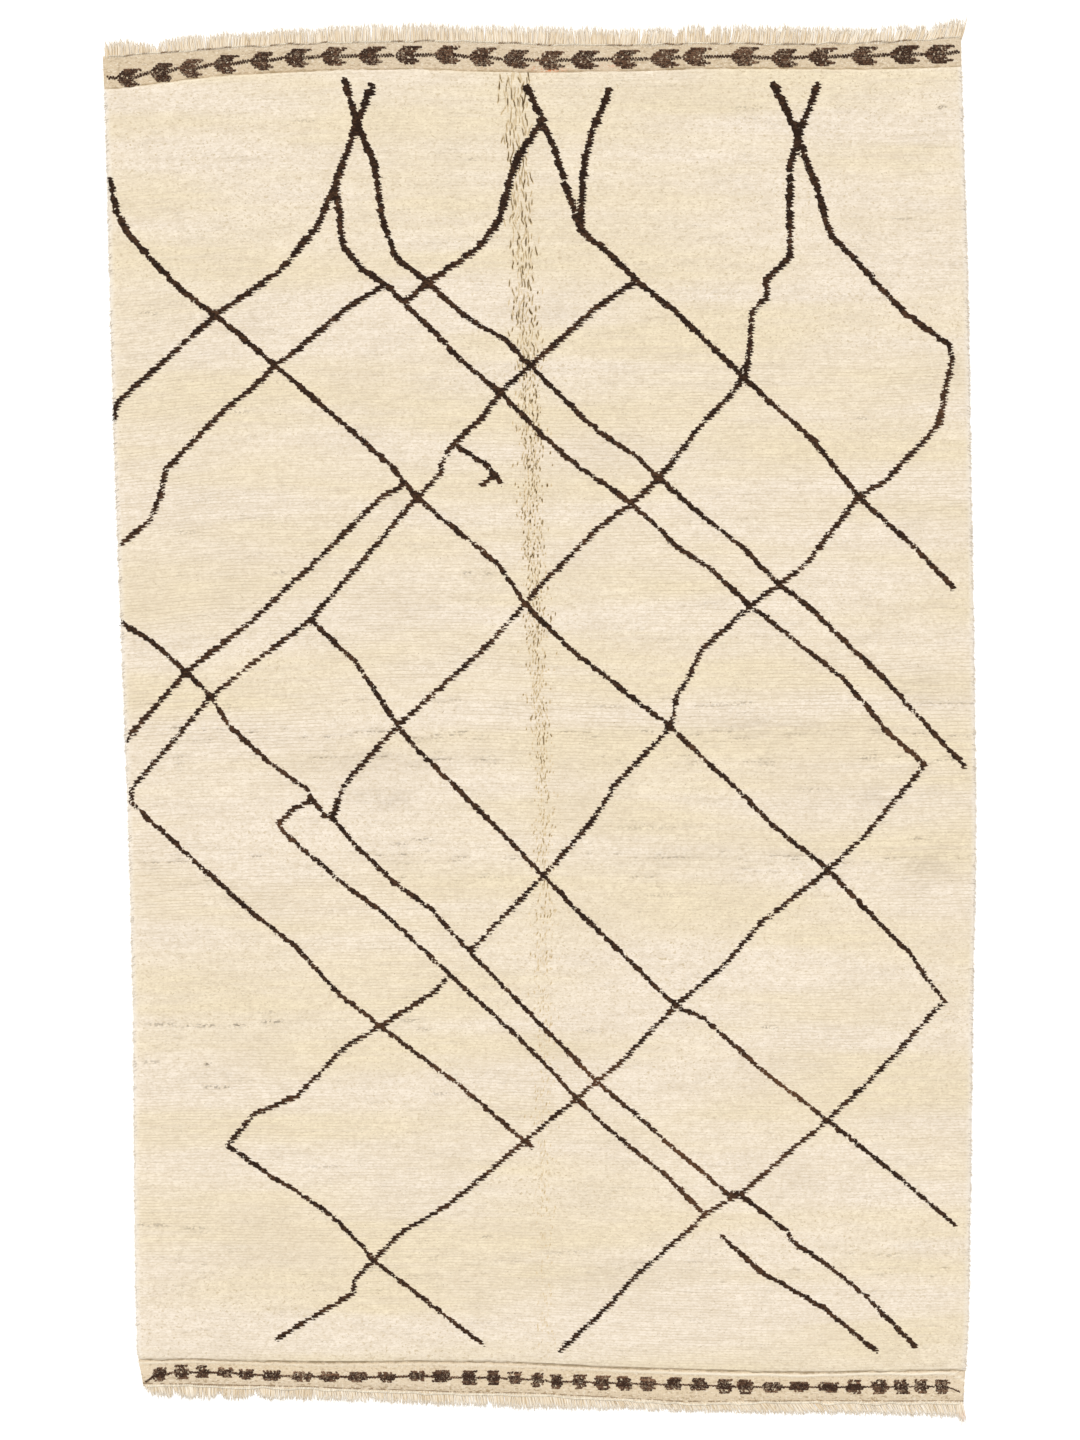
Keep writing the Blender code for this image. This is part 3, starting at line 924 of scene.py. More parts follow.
# %% Places in the cloth
inner_count = round(float(right_side(0.0) - left_side(0.0)) / CLOTH_COLUMN)
side_count, side_width = len(CLOTH_SIDE), CLOTH_SIDE[-1][0]
cloth_columns = inner_count + 2 * side_count


def cloth_x(y):
    """x of every column of the cloth on lines at y."""
    hidden = HIDDEN_INSET * in_field
    left, right = left_side(y) + hidden, right_side(y) - hidden
    x = with_sides(left, right, CLOTH_SIDE)
    part = slice(side_count, side_count + inner_count)
    share = (np.arange(inner_count) + 0.5) / inner_count
    start, end = left[:, part] + side_width, right[:, part] - side_width
    x[:, part] = start + (end - start) * share
    return x


def cloth_y(x):
    """y of every line of the cloth in columns at x."""
    low = np.where(at_bottom, bottom_edge(x), np.where(in_field, bottom_step(x), top_step(x)))
    high = np.where(at_bottom, bottom_step(x), np.where(in_field, top_step(x), top_edge(x)))
    return low + cloth_share[:, None] * (high - low)


cloth_px, cloth_py = settled_grid(cloth_x, cloth_y, len(cloth_share), cloth_columns)
print("cloth grid", cloth_px.shape)

# %% Relief of the cloth
EDGE_ROUND = 0.0024
FIRM_LINE_AT, FIRM_LINE_HALF, FIRM_LINE_HIGH = 0.0058, 0.0023, 0.0028
FIRM_DROOP_FROM, FIRM_DROOP = 0.715, 0.016    # it curves away from the knots at the right
FIRM_SHARE = ((-0.7, 0.60), (-0.55, 0.40), (0.10, 0.45), (0.30, 1.0), (0.75, 1.0))
FIRM_WANDER = (
    # strength, size across, size along, seed
    (0.0013, 0.05, 1.0, 81), (0.0006, 0.015, 1.0, 84),
)
SHADOW_LINE_DEEP = 0.0008

from_pile = np.where(at_bottom, bottom_step(cloth_px) - cloth_py, cloth_py - top_step(cloth_px))
from_pile = np.where(in_field, -1.0, np.maximum(from_pile, 0.0))
from_edge = np.minimum(cloth_py - bottom_edge(cloth_px), top_edge(cloth_px) - cloth_py)
firm_droop = FIRM_DROOP * np.clip((cloth_px - FIRM_DROOP_FROM) / 0.03, 0, 1) ** 2
wavy = layers_of_noise(cloth_px, 0.0, FIRM_WANDER)
firm = np.exp(-((from_pile - FIRM_LINE_AT - wavy - firm_droop) / FIRM_LINE_HALF) ** 2)
firm *= read(FIRM_SHARE, cloth_px) * at_bottom
cloth_top = np.full_like(cloth_px, WEAVE_TOP)
cloth_top += cloth_rib * (1 + 0.5 * soft_noise(cloth_px, cloth_py, 0.04, 0.006, 82))
cloth_top += FIRM_LINE_HIGH * firm
cloth_top -= SHADOW_LINE_DEEP * np.exp(-(from_pile / 0.0012) ** 2) * (from_pile >= 0)
cloth_top += 0.0004 * soft_noise(cloth_px, cloth_py, 0.05, 0.02, 83) * (from_pile > 0)
cloth_top = np.where(in_field, UNDER_PILE, cloth_top)
cloth_top *= 1 - 0.42 * np.exp(-(np.maximum(from_edge, 0) / EDGE_ROUND) ** 2)
for index, (inset, height) in enumerate(CLOTH_SIDE):
    cloth_top[:, index] = np.minimum(cloth_top[:, index], height)
    cloth_top[:, -1 - index] = np.minimum(cloth_top[:, -1 - index], height)
print("cloth from", round(cloth_top.min() * 1000, 1), "to", round(cloth_top.max() * 1000, 1), "mm")

# %% [markdown]
# ## Wear and stains on the flat ends
# The flat ends are handled and trodden on more than the pile. Their weave is dingier,
# with dark flecks next to the bottom fringe, and a little red dye has run into the top
# end under the figures. Only the places are noted here. The material mixes the colours,
# and it also paints a dotted line of shade beside the bottom twined line.

# %% Stains
DYE_STAINS = (
    # across, along, half-width, half-height, strength
    (0.021, 1.1420, 0.022, 0.0042, 1.1),
    (-0.010, 1.1440, 0.012, 0.0035, 0.45),
    (0.125, 1.1480, 0.020, 0.0050, 0.35),
    (-0.095, 1.1440, 0.012, 0.0030, 0.30),
)
stain = soft_spots(cloth_px, cloth_py, DYE_STAINS)
print("stained points:", int((stain > 0.2).sum()))


# %% The cloth as one closed sheet
def closed_sheet(name, x, y, top, values):
    """A closed sheet from a grid: its upper face, its flat underside and its rim."""
    rows, columns = x.shape
    count = rows * columns
    upper = np.stack([x, y, top], axis=2).reshape(-1, 3)
    lower = upper * (1, 1, 0)
    index = np.arange(count).reshape(rows, columns)
    ring = np.concatenate([index[0, :-1], index[:-1, -1], index[-1, :0:-1], index[:0:-1, 0]])
    after = np.roll(ring, -1)
    rim = np.stack([ring, ring + count, after + count, after], axis=1)
    faces = np.vstack([grid_faces(rows, columns), grid_faces(rows, columns, count, flip=True), rim])
    attributes = {title: np.concatenate([v.ravel(), v.ravel()]) for title, v in values.items()}
    piece = finish_mesh(name, np.vstack([upper, lower]), faces.tolist(), attributes)
    places = np.vstack([upper, lower])[:, :2]
    places = (places - places.min(0)) / np.ptp(places, axis=0)
    places[:, 1] = places[:, 1] * 0.48
    places[count:, 1] += 0.5
    lay_map(piece, places, len(faces) - len(rim))
    cells = (rows - 1) * (columns - 1)
    underside = np.zeros(len(faces), np.int32)
    underside[cells:2 * cells] = 1
    piece.data.polygons.foreach_set("material_index", underside)
    return piece


BACK_REACH = 0.07             # far enough for the side to be right in every coarse face
back_distance, back_side = distance_to_lines(cloth_px, cloth_py, BACK_REACH)
cloth_values = {"from_pile": from_pile, "from_edge": from_edge, "stain": stain,
                "bottom_end": at_bottom + 0 * cloth_px, "firm": firm, "distance": back_distance,
                "across_line": back_distance * back_side}
cloth = closed_sheet("rug_foundation", cloth_px, cloth_py, cloth_top, cloth_values)
print("cloth faces:", len(cloth.data.polygons))

# %% [markdown]
# ## Stitches of brown yarn
# The figures on the flat ends are brocaded: a brown yarn goes over and under the warps,
# row by row, and each float slants the other way in the next row. One float is a small
# pointed grain. All the grains of one end are a single mesh, because thousands of
# objects would be slow.

# %% One mesh of many grains
GRAIN_RINGS = (-0.24, 0.24)   # where along a grain its two rings of points lie
GRAIN_SIDES = 4


def grains(name, places):
    """A mesh of grains, a row (x, y, z, length, width, height, angle, shade) for each."""
    places = np.array(places)
    turn = 2 * np.pi * np.arange(GRAIN_SIDES) / GRAIN_SIDES
    template = [(-0.5, 0, 0)]
    template += [(at, 0.5 * np.cos(t), 0.5 * np.sin(t)) for at in GRAIN_RINGS for t in turn]
    template = np.array(template + [(0.5, 0, 0)])
    local = template[None] * places[:, None, 3:6]
    cos, sin = np.cos(places[:, 6])[:, None], np.sin(places[:, 6])[:, None]
    x = places[:, 0:1] + local[..., 0] * cos - local[..., 1] * sin
    y = places[:, 1:2] + local[..., 0] * sin + local[..., 1] * cos
    z = places[:, 2:3] + local[..., 2]
    one = []
    for side in range(GRAIN_SIDES):
        after = (side + 1) % GRAIN_SIDES
        one.append((0, 1 + after, 1 + side))
        one.append((1 + side, 1 + after, 1 + GRAIN_SIDES + after, 1 + GRAIN_SIDES + side))
        one.append((2 * GRAIN_SIDES + 1, 1 + GRAIN_SIDES + side, 1 + GRAIN_SIDES + after))
    size = len(template)
    faces = [tuple(corner + size * n for corner in face) for n in range(len(places)) for face in one]
    vertices = np.stack([x, y, z], axis=2).reshape(-1, 3)
    return finish_mesh(name, vertices, faces, {"shade": np.repeat(places[:, 7], size)})


# %% [markdown]
# ## Figures of the top end
# A chain of hooked figures runs across the top end, each pointing to the left, held
# together by a zigzag line of single floats. Every figure is nine rows of floats high.
# The weaver counts them out anew each time, so their width and arms differ.

# %% Top figures
STITCH_ROW = 0.0036
FLOAT_STEP = 0.0031
FLOAT_TILT = math.radians(38)
FLOAT_SIZE = (0.0056, 0.0034)
ZIGZAG_STEP = 0.0023
ZIGZAG_TILT = math.radians(58)
ZIGZAG_SIZE = (0.0050, 0.0034)
ZIGZAG_LIFT = 0.0014          # the floats of a joining line sit above and below it in turn
ON_WEAVE = 0.0041
WORN_AWAY = 0.03
HOOK_ROWS_MM = (
    # row from the middle, start, end
    (-4, 15, 40), (-3, 11, 49), (-2, 7, 42), (-1, 4, 37), (0, 0, 34),
    (1, 4, 36), (2, 8, 40), (3, 12, 45), (4, 17, 50),
)
TOP_FIGURES_CM = (
    # across, along
    (-72.3, 112.7), (-66.3, 113.7), (-61.3, 114.4), (-55.3, 115.1), (-48.8, 115.7),
    (-42.8, 116.2), (-36.3, 116.5), (-29.8, 116.6), (-23.3, 116.7), (-16.3, 116.8),
    (-10.3, 116.4), (-4.3, 116.0), (1.7, 115.8), (7.7, 115.9), (14.7, 116.0), (21.7, 116.1),
    (27.2, 116.4), (35.7, 116.5), (42.7, 116.2), (49.2, 116.4), (56.7, 116.6), (63.7, 116.8),
    (69.7, 116.9),
)
FIGURE_WIDTHS = ((-75, 0.86), (-50, 0.90), (-20, 0.98), (5, 1.02), (70, 1.08))
FIGURE_HALF, FIGURE_NOTCH = 0.0228, 0.0345    # from its middle to its left, and on to its notch
TOP_LINE_TONE = -0.1
TOP_LINE_START, TOP_LINE_END = (-0.757, 1.1280), (0.737, 1.1735)
stitch_rng = np.random.default_rng(91)


def float_at(x, y, row, tone, tilt=FLOAT_TILT, size=FLOAT_SIZE):
    """One float of brown yarn over the weave, slanted by its row."""
    jitter = stitch_rng.normal(0, 1, 6)
    tilt = tilt * (1 if row % 2 else -1) + 0.12 * jitter[5]
    return (x + 0.0003 * jitter[0], y + 0.00025 * jitter[1], ON_WEAVE + 0.00012 * jitter[2],
            size[0] * (1 + 0.10 * jitter[3]), size[1] * (1 + 0.12 * jitter[4]), 0.0017, tilt,
            min(1.0, max(0.0, tone + stitch_rng.uniform(-0.35, 0.35))))


def float_row(start, end, y, row, tone, worn_away=WORN_AWAY):
    """A row of floats from start to end. A few are worn away and leave the weave bare."""
    count = max(1, round((end - start) / FLOAT_STEP))
    worn = worn_away * (1 + tone) * stitch_rng.uniform(0, 2)
    return [float_at(start + (n + 0.5) * (end - start) / count, y, row, tone)
            for n in range(count) if stitch_rng.uniform(0, 1) > worn]


def zigzag(x1, y1, x2, y2, tone, tilt=ZIGZAG_TILT, size=ZIGZAG_SIZE, lift=ZIGZAG_LIFT):
    """A line of single floats that slant in turn."""
    count = max(1, round(math.hypot(x2 - x1, y2 - y1) / ZIGZAG_STEP))
    return [float_at(x1 + (x2 - x1) * (n + 0.5) / count,
                     y1 + (y2 - y1) * (n + 0.5) / count + lift * (-1) ** n, n,
                     tone, tilt, size) for n in range(count)]


top_floats = []
starts, notches = [], []
for across, along in TOP_FIGURES_CM:
    wide = float(read(FIGURE_WIDTHS, across)) * stitch_rng.uniform(0.95, 1.06)
    arm, hollow = stitch_rng.uniform(-3, 5), stitch_rng.uniform(-2, 6)
    left, middle = across / 100 - FIGURE_HALF * wide, along / 100
    figure_tone = stitch_rng.uniform(0.0, 0.28)
    for row, start, end in HOOK_ROWS_MM:
        reach = end + (arm if row == 4 else 0.0) + stitch_rng.uniform(-1.5, 1.5)
        begin = start + (hollow if row < -3 else 0.0)
        y = middle + row * STITCH_ROW
        tone = figure_tone + stitch_rng.uniform(-0.1, 0.2)
        top_floats += float_row(left + begin * wide / 1000, left + reach * wide / 1000, y, row, tone)
    starts.append((left, middle))
    notches.append((left + FIGURE_NOTCH * wide, middle))
top_line = [*zip(notches, starts[1:] + [TOP_LINE_END]), (TOP_LINE_START, starts[0])]
for start, end in top_line:
    top_floats += zigzag(*start, *end, TOP_LINE_TONE)
top_figures = grains("figures_top", top_floats)
print(len(TOP_FIGURES_CM), "top figures,", len(top_floats), "floats")

# %% [markdown]
# ## Figures of the bottom end
# The bottom end has smaller, rounder figures, five to seven rows high, strung on one
# line that is thicker to the left. Some lean, some have a row of paler yarn, and their
# spacing follows the weaver's eye.

# %% Bottom figures
KNOB_ROWS_MM = ((3, 22), (2, 24), (1, 23), (0, 27), (-1, 26), (-2, 22), (-3, 20))
FLAT_KNOB_ROWS_MM = ((2, 27), (1, 28), (0, 31), (-1, 28), (-2, 19))
OUTER_WORN = 0.10
BOTTOM_FIGURES_CM = (
    # across, along, width, rows, lean
    (-66.5, -114.5, 2.3, 7, 0.6), (-62.6, -114.1, 2.5, 7, 0.0), (-58.9, -114.2, 2.4, 6, 0.0),
    (-55.0, -114.2, 2.7, 5, 0.0), (-51.3, -114.5, 2.4, 5, -0.5), (-47.0, -114.7, 3.0, 5, 0.6),
    (-41.5, -114.9, 3.2, 5, 0.3), (-36.6, -114.9, 3.2, 5, 0.0), (-31.7, -115.0, 3.0, 5, 0.2),
    (-26.8, -115.0, 2.7, 5, -0.4), (-21.2, -114.8, 2.7, 5, 0.0), (-17.0, -115.0, 3.0, 6, 0.3),
    (-12.2, -115.1, 2.7, 7, 0.0), (-8.1, -115.1, 2.6, 7, -0.3), (-4.3, -115.3, 2.6, 6, 0.0),
    (-0.2, -115.5, 2.3, 7, 0.2), (3.0, -115.8, 2.3, 7, 0.0), (7.1, -115.8, 2.6, 7, 0.4),
    (11.1, -116.0, 2.6, 7, 0.0), (14.9, -116.1, 2.5, 7, -0.3), (19.0, -116.2, 2.7, 7, 0.0),
    (23.5, -116.3, 2.8, 6, 0.3), (28.1, -116.4, 2.8, 6, 0.0), (32.5, -116.6, 2.7, 7, 0.0),
    (36.3, -116.7, 2.9, 7, -0.3), (41.0, -116.8, 3.0, 5, 0.3), (45.7, -116.7, 3.2, 5, 0.0),
    (50.8, -116.8, 3.0, 5, 0.4), (55.3, -116.7, 3.0, 7, 0.0), (59.7, -116.7, 2.7, 7, 0.0),
    (63.6, -116.7, 2.6, 7, -0.3), (67.1, -116.6, 2.5, 7, 0.0), (70.6, -116.7, 2.5, 7, 0.3),
)
PALER_ROWS = {-55.0: 2, -36.6: 1, -4.3: 2, 19.0: 2, 36.3: 1, 55.3: 2}    # of the figures here
PALER_YARN = 0.5
LINE_TILT = math.radians(24)
LINE_WIDTHS = ((-0.70, 0.0036), (-0.10, 0.0034), (0.15, 0.0028), (0.75, 0.0024))
LINE_FLOAT = 0.0050           # length of one float of the line
LINE_LIFT, BOTTOM_LINE_TONE = 0.0003, 0.15
KNOB_HALF = 0.0125            # from a figure's middle to where the line starts
LINE_ENDS = (
    # start, end, tone, width
    ((-0.676, -1.1490), (-0.690, -1.1590), 0.05, 0.0030),
    ((0.718, -1.1675), (0.738, -1.1760), 0.20, 0.0022),
)
bottom_floats = []
for across, along, width, rows, lean in BOTTOM_FIGURES_CM:
    figure_tone = stitch_rng.uniform(-0.05, 0.22)
    row_widths = FLAT_KNOB_ROWS_MM if rows == 5 else KNOB_ROWS_MM[:rows]
    for row, row_width in row_widths:
        half = row_width / 2000 * width / 2.7 + stitch_rng.uniform(-0.0022, 0.0022)
        middle = across / 100 + lean * row / 1000 + stitch_rng.uniform(-0.0022, 0.0022)
        y = along / 100 + row * STITCH_ROW
        outer = abs(row) > 1
        tone = figure_tone + stitch_rng.uniform(-0.2, 0.25) + (0.2 if outer else -0.15)
        tone += PALER_YARN * (row == PALER_ROWS.get(across))
        worn = OUTER_WORN if outer else WORN_AWAY
        bottom_floats += float_row(middle - half, middle + half, y, row, tone, worn)
for first, second in zip(BOTTOM_FIGURES_CM, BOTTOM_FIGURES_CM[1:]):
    start, end = first[0] / 100 + KNOB_HALF, second[0] / 100 - KNOB_HALF
    line_size = (LINE_FLOAT, float(read(LINE_WIDTHS, start)))
    if end > start:
        bottom_floats += zigzag(start, first[1] / 100, end, second[1] / 100, BOTTOM_LINE_TONE,
                                LINE_TILT, line_size, LINE_LIFT)
for start, end, tone, width in LINE_ENDS:
    bottom_floats += zigzag(*start, *end, tone, LINE_TILT, (LINE_FLOAT, width), 0.0)
bottom_figures = grains("figures_bottom", bottom_floats)
print(len(BOTTOM_FIGURES_CM), "bottom figures,", len(bottom_floats), "floats")

# %% [markdown]
# ## The twined line at the fringe
# Before the rug comes off the loom, two yarns are twisted round each other and round
# the warps, so that the weave can't slip. It shows as a line of small slanted grains.
# At the top end one of the yarns is brownish.

# %% Twined lines
TWINE_STEP = 0.0040
TWINE_INSET = 0.0014
TWINE_WANDER = 0.0022
TWINE_TILT = math.radians(28)
TWINE_GRAIN = 0.0060
BROWNISH, CREAMY = (0.35, 1.0), (0.0, 0.3)     # shades of its two yarns


def twined_line(name, edge, start, end, inward, width, dark_share):
    """Grains along a woven edge, slanted as two twisted yarns are."""
    count = round((end - start) / TWINE_STEP)
    places = []
    for n in range(count):
        x = start + (end - start) * (n + 0.5) / count
        wander = TWINE_WANDER * float(soft_noise(x, 0, 0.022, 1, 95))
        y = float(edge(x)) + inward * (TWINE_INSET + wander)
        brownish = soft_noise(x, 0, 0.016, 1, 96) > 1 - 2 * dark_share
        shade = stitch_rng.uniform(*(BROWNISH if brownish else CREAMY))
        places.append((x, y, WEAVE_TOP + 0.0003, TWINE_GRAIN, width, width, TWINE_TILT, shade))
    return grains(name, places)


twine_top = twined_line("twined_line_top", top_edge, -0.755, 0.737, -1, 0.0024, 0.48)
twine_bottom = twined_line("twined_line_bottom", bottom_edge, -0.686, 0.737, 1, 0.0042, 0.0)
print("twined lines:", len(twine_top.data.polygons) + len(twine_bottom.data.polygons), "faces")

# %% [markdown]
# ## The fringe
# The fringe is the warps themselves, cut off two or three centimetres past the weave.
# Each is a twisted wool yarn that lies on the floor, leans together with its neighbours
# and frays at its end. How far they reach is read from the solid model's two combs. The
# strands are tapered tubes, worked out all together, and fine ends splay from them. The
# top fringe is a little longer and duller than the bottom one.

# %% Tubes along many paths
def tubes(name, paths, radii, sides, values):
    """Closed tubes, paths (n, stations, 3), radii (n, stations), values per tube."""
    paths = np.asarray(paths)
    count, stations = paths.shape[:2]
    run = np.gradient(paths, axis=1)
    run /= np.linalg.norm(run, axis=2, keepdims=True)
    across = np.cross(run, (0, 0, 1.0))
    across /= np.linalg.norm(across, axis=2, keepdims=True)
    above = np.cross(across, run)
    turn = 2 * np.pi * np.arange(sides) / sides
    round_points = (across[:, :, None] * np.cos(turn)[:, None]
                    + above[:, :, None] * np.sin(turn)[:, None])
    vertices = paths[:, :, None] + round_points * np.asarray(radii)[:, :, None, None]
    index = np.arange(count * stations * sides).reshape(count, stations, sides)
    after = np.roll(index, -1, axis=2)
    walls = np.stack([index[:, :-1], after[:, :-1], after[:, 1:], index[:, 1:]], axis=3)
    faces = walls.reshape(-1, 4).tolist()
    faces += index[:, 0, ::-1].tolist() + index[:, -1].tolist()
    length = np.linspace(0, 1, stations)[None, :, None]
    attributes = {"along": np.broadcast_to(length, index.shape).ravel()}
    for title, value in values.items():
        attributes[title] = np.repeat(value, stations * sides)
    return finish_mesh(name, vertices.reshape(-1, 3), faces, attributes)


# %% How far the fringe reaches
REACH_STATIONS = 60
NEAR_STATION = 0.018          # wider than a notch between tufts


def fringe_reach(node, outward):
    """How far a fringe reaches along the rug, as a function of x."""
    corners = np.array([vertex.co[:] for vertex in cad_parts[node].data.vertices])
    stations = np.linspace(corners[:, 0].min(), corners[:, 0].max(), REACH_STATIONS)
    reach = []
    for at in stations:
        near = corners[np.abs(corners[:, 0] - at) < NEAR_STATION]
        reach.append(outward * (outward * near[:, 1]).max())
    return lambda x: np.interp(x, stations, softened(np.array(reach)))


top_reach = fringe_reach("fringe_top", 1)
bottom_reach = fringe_reach("fringe_bottom", -1)
print("fringe", round(float(top_reach(0) - top_edge(0)) * 1000), "mm long at the top,",
      round(float(bottom_edge(0) - bottom_reach(0)) * 1000), "mm at the bottom")

# %% Strands
STRAND_STEP = 0.00112
STRAND_STATIONS = 5
STRAND_SIDES = 4
STRAND_RADIUS = 0.00110
FIBRE_STATIONS = 3
FIBRE_RADII = (0.00046, 0.00036, 0.00016)
CLUMP_STEP = 0.017
MANY_CLUMPS = 400             # more than an end has
ROOT_INSIDE = 0.005
ROOT_HIGH = 0.0026
CORNER_DYE_X, CORNER_DYE_RUN = 0.739, 0.006    # a little pink dye in the last tuft
LEANS = (
    # across, how far the tips lie to the right at the top end, and at the bottom end
    (-0.76, -0.002, 0.002), (-0.50, 0.000, 0.002), (-0.20, 0.000, 0.004), (0.15, 0.002, 0.009),
    (0.35, 0.005, 0.013), (0.55, 0.007, 0.014), (0.74, 0.008, 0.010),
)
LOCK_STEP = 0.0052            # strands twist together in small locks, each with a dull side
DULL_SIDE_FROM = 0.62         # where across a lock its dull side starts


def clumps(root_x, seed):
    """The clump of each strand: its middle, and its own lean, length and tone."""
    wander = 0.005 * soft_noise(root_x, 0, 0.05, 1, seed + 1)
    clump = np.round((root_x + wander) / CLUMP_STEP)
    rng = np.random.default_rng(seed + 2)
    own = (clump + MANY_CLUMPS // 2).astype(int)
    lean = rng.normal(0, 0.0011, MANY_CLUMPS)
    length = rng.uniform(0.90, 1.05, MANY_CLUMPS)
    tone = rng.uniform(0.0, 1.0, MANY_CLUMPS)
    return clump * CLUMP_STEP, lean[own], length[own], tone[own]


def frayed_fibres(name, x, y, z, length, outward, tone, rng):
    """A finer fibre for every strand, which leaves it near its tip and splays."""
    count = len(length)
    every = np.arange(count)
    leave = rng.uniform(0.62, 0.92, count)
    run = np.linspace(0, 1, FIBRE_STATIONS)
    tip = 1.08 + rng.uniform(0, 0.14, (count, 1))
    share = leave[:, None] + (tip - leave[:, None]) * run
    root = (leave * (STRAND_STATIONS - 1)).astype(int)
    splay = rng.normal(0, 0.0022, count)
    fx = x[every, root][:, None] + splay[:, None] * run ** 1.3
    fy = y[:, :1] + outward * (length + ROOT_INSIDE)[:, None] * share
    fz = z[every, root][:, None] + rng.uniform(0, 0.0012, (count, 1)) * run
    return tubes(name, np.stack([fx, fy, fz], 2), np.broadcast_to(FIBRE_RADII, fx.shape), 3,
                 {"tone": tone})


def fringe(end_name, edge, reach, start, end, outward, gaps, look, seed):
    """Strands and their frayed fibres along one end. A gap above 1 is a longer lock."""
    fullness, dullness = look
    rng = np.random.default_rng(seed)
    count = round((end - start) / STRAND_STEP)
    root_x = start + (end - start) * (np.arange(count) + 0.5) / count
    root_x += rng.uniform(-0.25, 0.25, count) * STRAND_STEP
    clump_x, clump_lean, clump_length, clump_tone = clumps(root_x, seed)
    lean_at, top_lean, bottom_lean = zip(*LEANS)
    lean = np.interp(root_x, lean_at, top_lean if outward > 0 else bottom_lean)
    lean = lean + 0.0035 * soft_noise(root_x, 0, 0.035, 1, seed + 3)
    lock = (root_x / LOCK_STEP + 0.35 * soft_noise(root_x, 0, 0.02, 1, seed + 4)) % 1
    tone = 0.35 * clump_tone + rng.uniform(-0.20, 0.30, count) + 0.50 * (lock > DULL_SIDE_FROM)
    tone = np.clip(tone + dullness, 0, 1)
    gather = rng.uniform(-0.05, 0.12, count)
    length = np.abs(reach(root_x) - edge(root_x)) * clump_length * fullness
    length *= rng.uniform(0.74, 1.06, count)
    for gap_x, gap_half, left in gaps:
        length *= 1 - (1 - left) * np.exp(-((root_x - gap_x) / gap_half) ** 2)
    tip_x = root_x + gather * (clump_x - root_x) + lean + clump_lean + rng.normal(0, 0.0010, count)
    bend = rng.normal(0, 0.0008, count)
    share = np.linspace(0, 1, STRAND_STATIONS)
    x = root_x[:, None] + (tip_x - root_x)[:, None] * share ** 0.9
    x += bend[:, None] * np.sin(np.pi * share)
    y = edge(root_x)[:, None] - outward * ROOT_INSIDE
    y = y + outward * (length[:, None] + ROOT_INSIDE) * share
    low = STRAND_RADIUS * 1.02
    z = low + (ROOT_HIGH - low) * (1 - share) ** 1.5 + 0.0011 * rng.uniform(0, 1, (count, 1)) * share
    thick = np.interp(share, [0, 0.55, 0.85, 1], [1.0, 1.0, 0.72, 0.30])
    radius = STRAND_RADIUS * thick * rng.uniform(0.82, 1.15, (count, 1))
    corner_dye = np.exp(-((root_x - CORNER_DYE_X) / CORNER_DYE_RUN) ** 2) * (outward < 0)
    strands = tubes("strands_" + end_name, np.stack([x, y, z], 2), radius, STRAND_SIDES,
                    {"tone": tone, "stain": corner_dye})
    return strands, frayed_fibres("fibres_" + end_name, x, y, z, length, outward, tone, rng)


# %% Both fringes
TOP_GAPS = (
    # across, half-width, share of the length that is left
    (-0.735, 0.025, 1.40), (-0.620, 0.035, 1.30), (-0.545, 0.035, 1.20),
    (-0.668, 0.005, 0.25), (0.237, 0.005, 0.40), (0.297, 0.005, 0.45),
    (0.592, 0.004, 0.55), (0.676, 0.004, 0.60), (0.726, 0.016, 1.16),
)
BOTTOM_GAPS = (
    (-0.690, 0.008, 0.25), (-0.640, 0.006, 0.60), (-0.560, 0.006, 0.45), (-0.500, 0.008, 0.55),
    (-0.300, 0.005, 0.55), (-0.090, 0.005, 0.55), (0.215, 0.005, 0.55), (0.738, 0.008, 1.30),
)
TOP_LOOK, BOTTOM_LOOK = (1.16, 0.16), (1.0, 0.08)     # how full a fringe is, and how dull
top_strands, top_fibres = fringe("top", top_edge, top_reach, -0.761, 0.740, 1, TOP_GAPS,
                                 TOP_LOOK, 101)
bottom_strands, bottom_fibres = fringe("bottom", bottom_edge, bottom_reach, -0.689, 0.742, -1,
                                       BOTTOM_GAPS, BOTTOM_LOOK, 111)
warps = [top_strands, top_fibres, bottom_strands, bottom_fibres]
print("fringe faces:", [len(piece.data.polygons) for piece in warps])

# %% [markdown]
# ## Tufts along the sides
# The outermost knots stick out a little past the cloth, and that makes the sides soft
# and uneven. Small tapered tufts lean out and towards the bottom end, as the pile does.

# %% Side tufts
KNOT_ROW = 0.0056             # a usual row of knots
TUFT_STEP = 0.0042
TUFT_RADII = np.array([0.0013, 0.0012, 0.0009, 0.0002])
TUFT_OUT, TUFT_DOWN = (-0.0002, 0.0036), (0.0005, 0.0060)     # how far a tip lies out and down
TUFT_ROOTS, TUFT_DROP = (0.0026, 0.0100), (0.0005, 0.0035)    # how high it starts and sinks
LIT_PART = 0.5                # the part of a row that is clear of its groove's painted shade
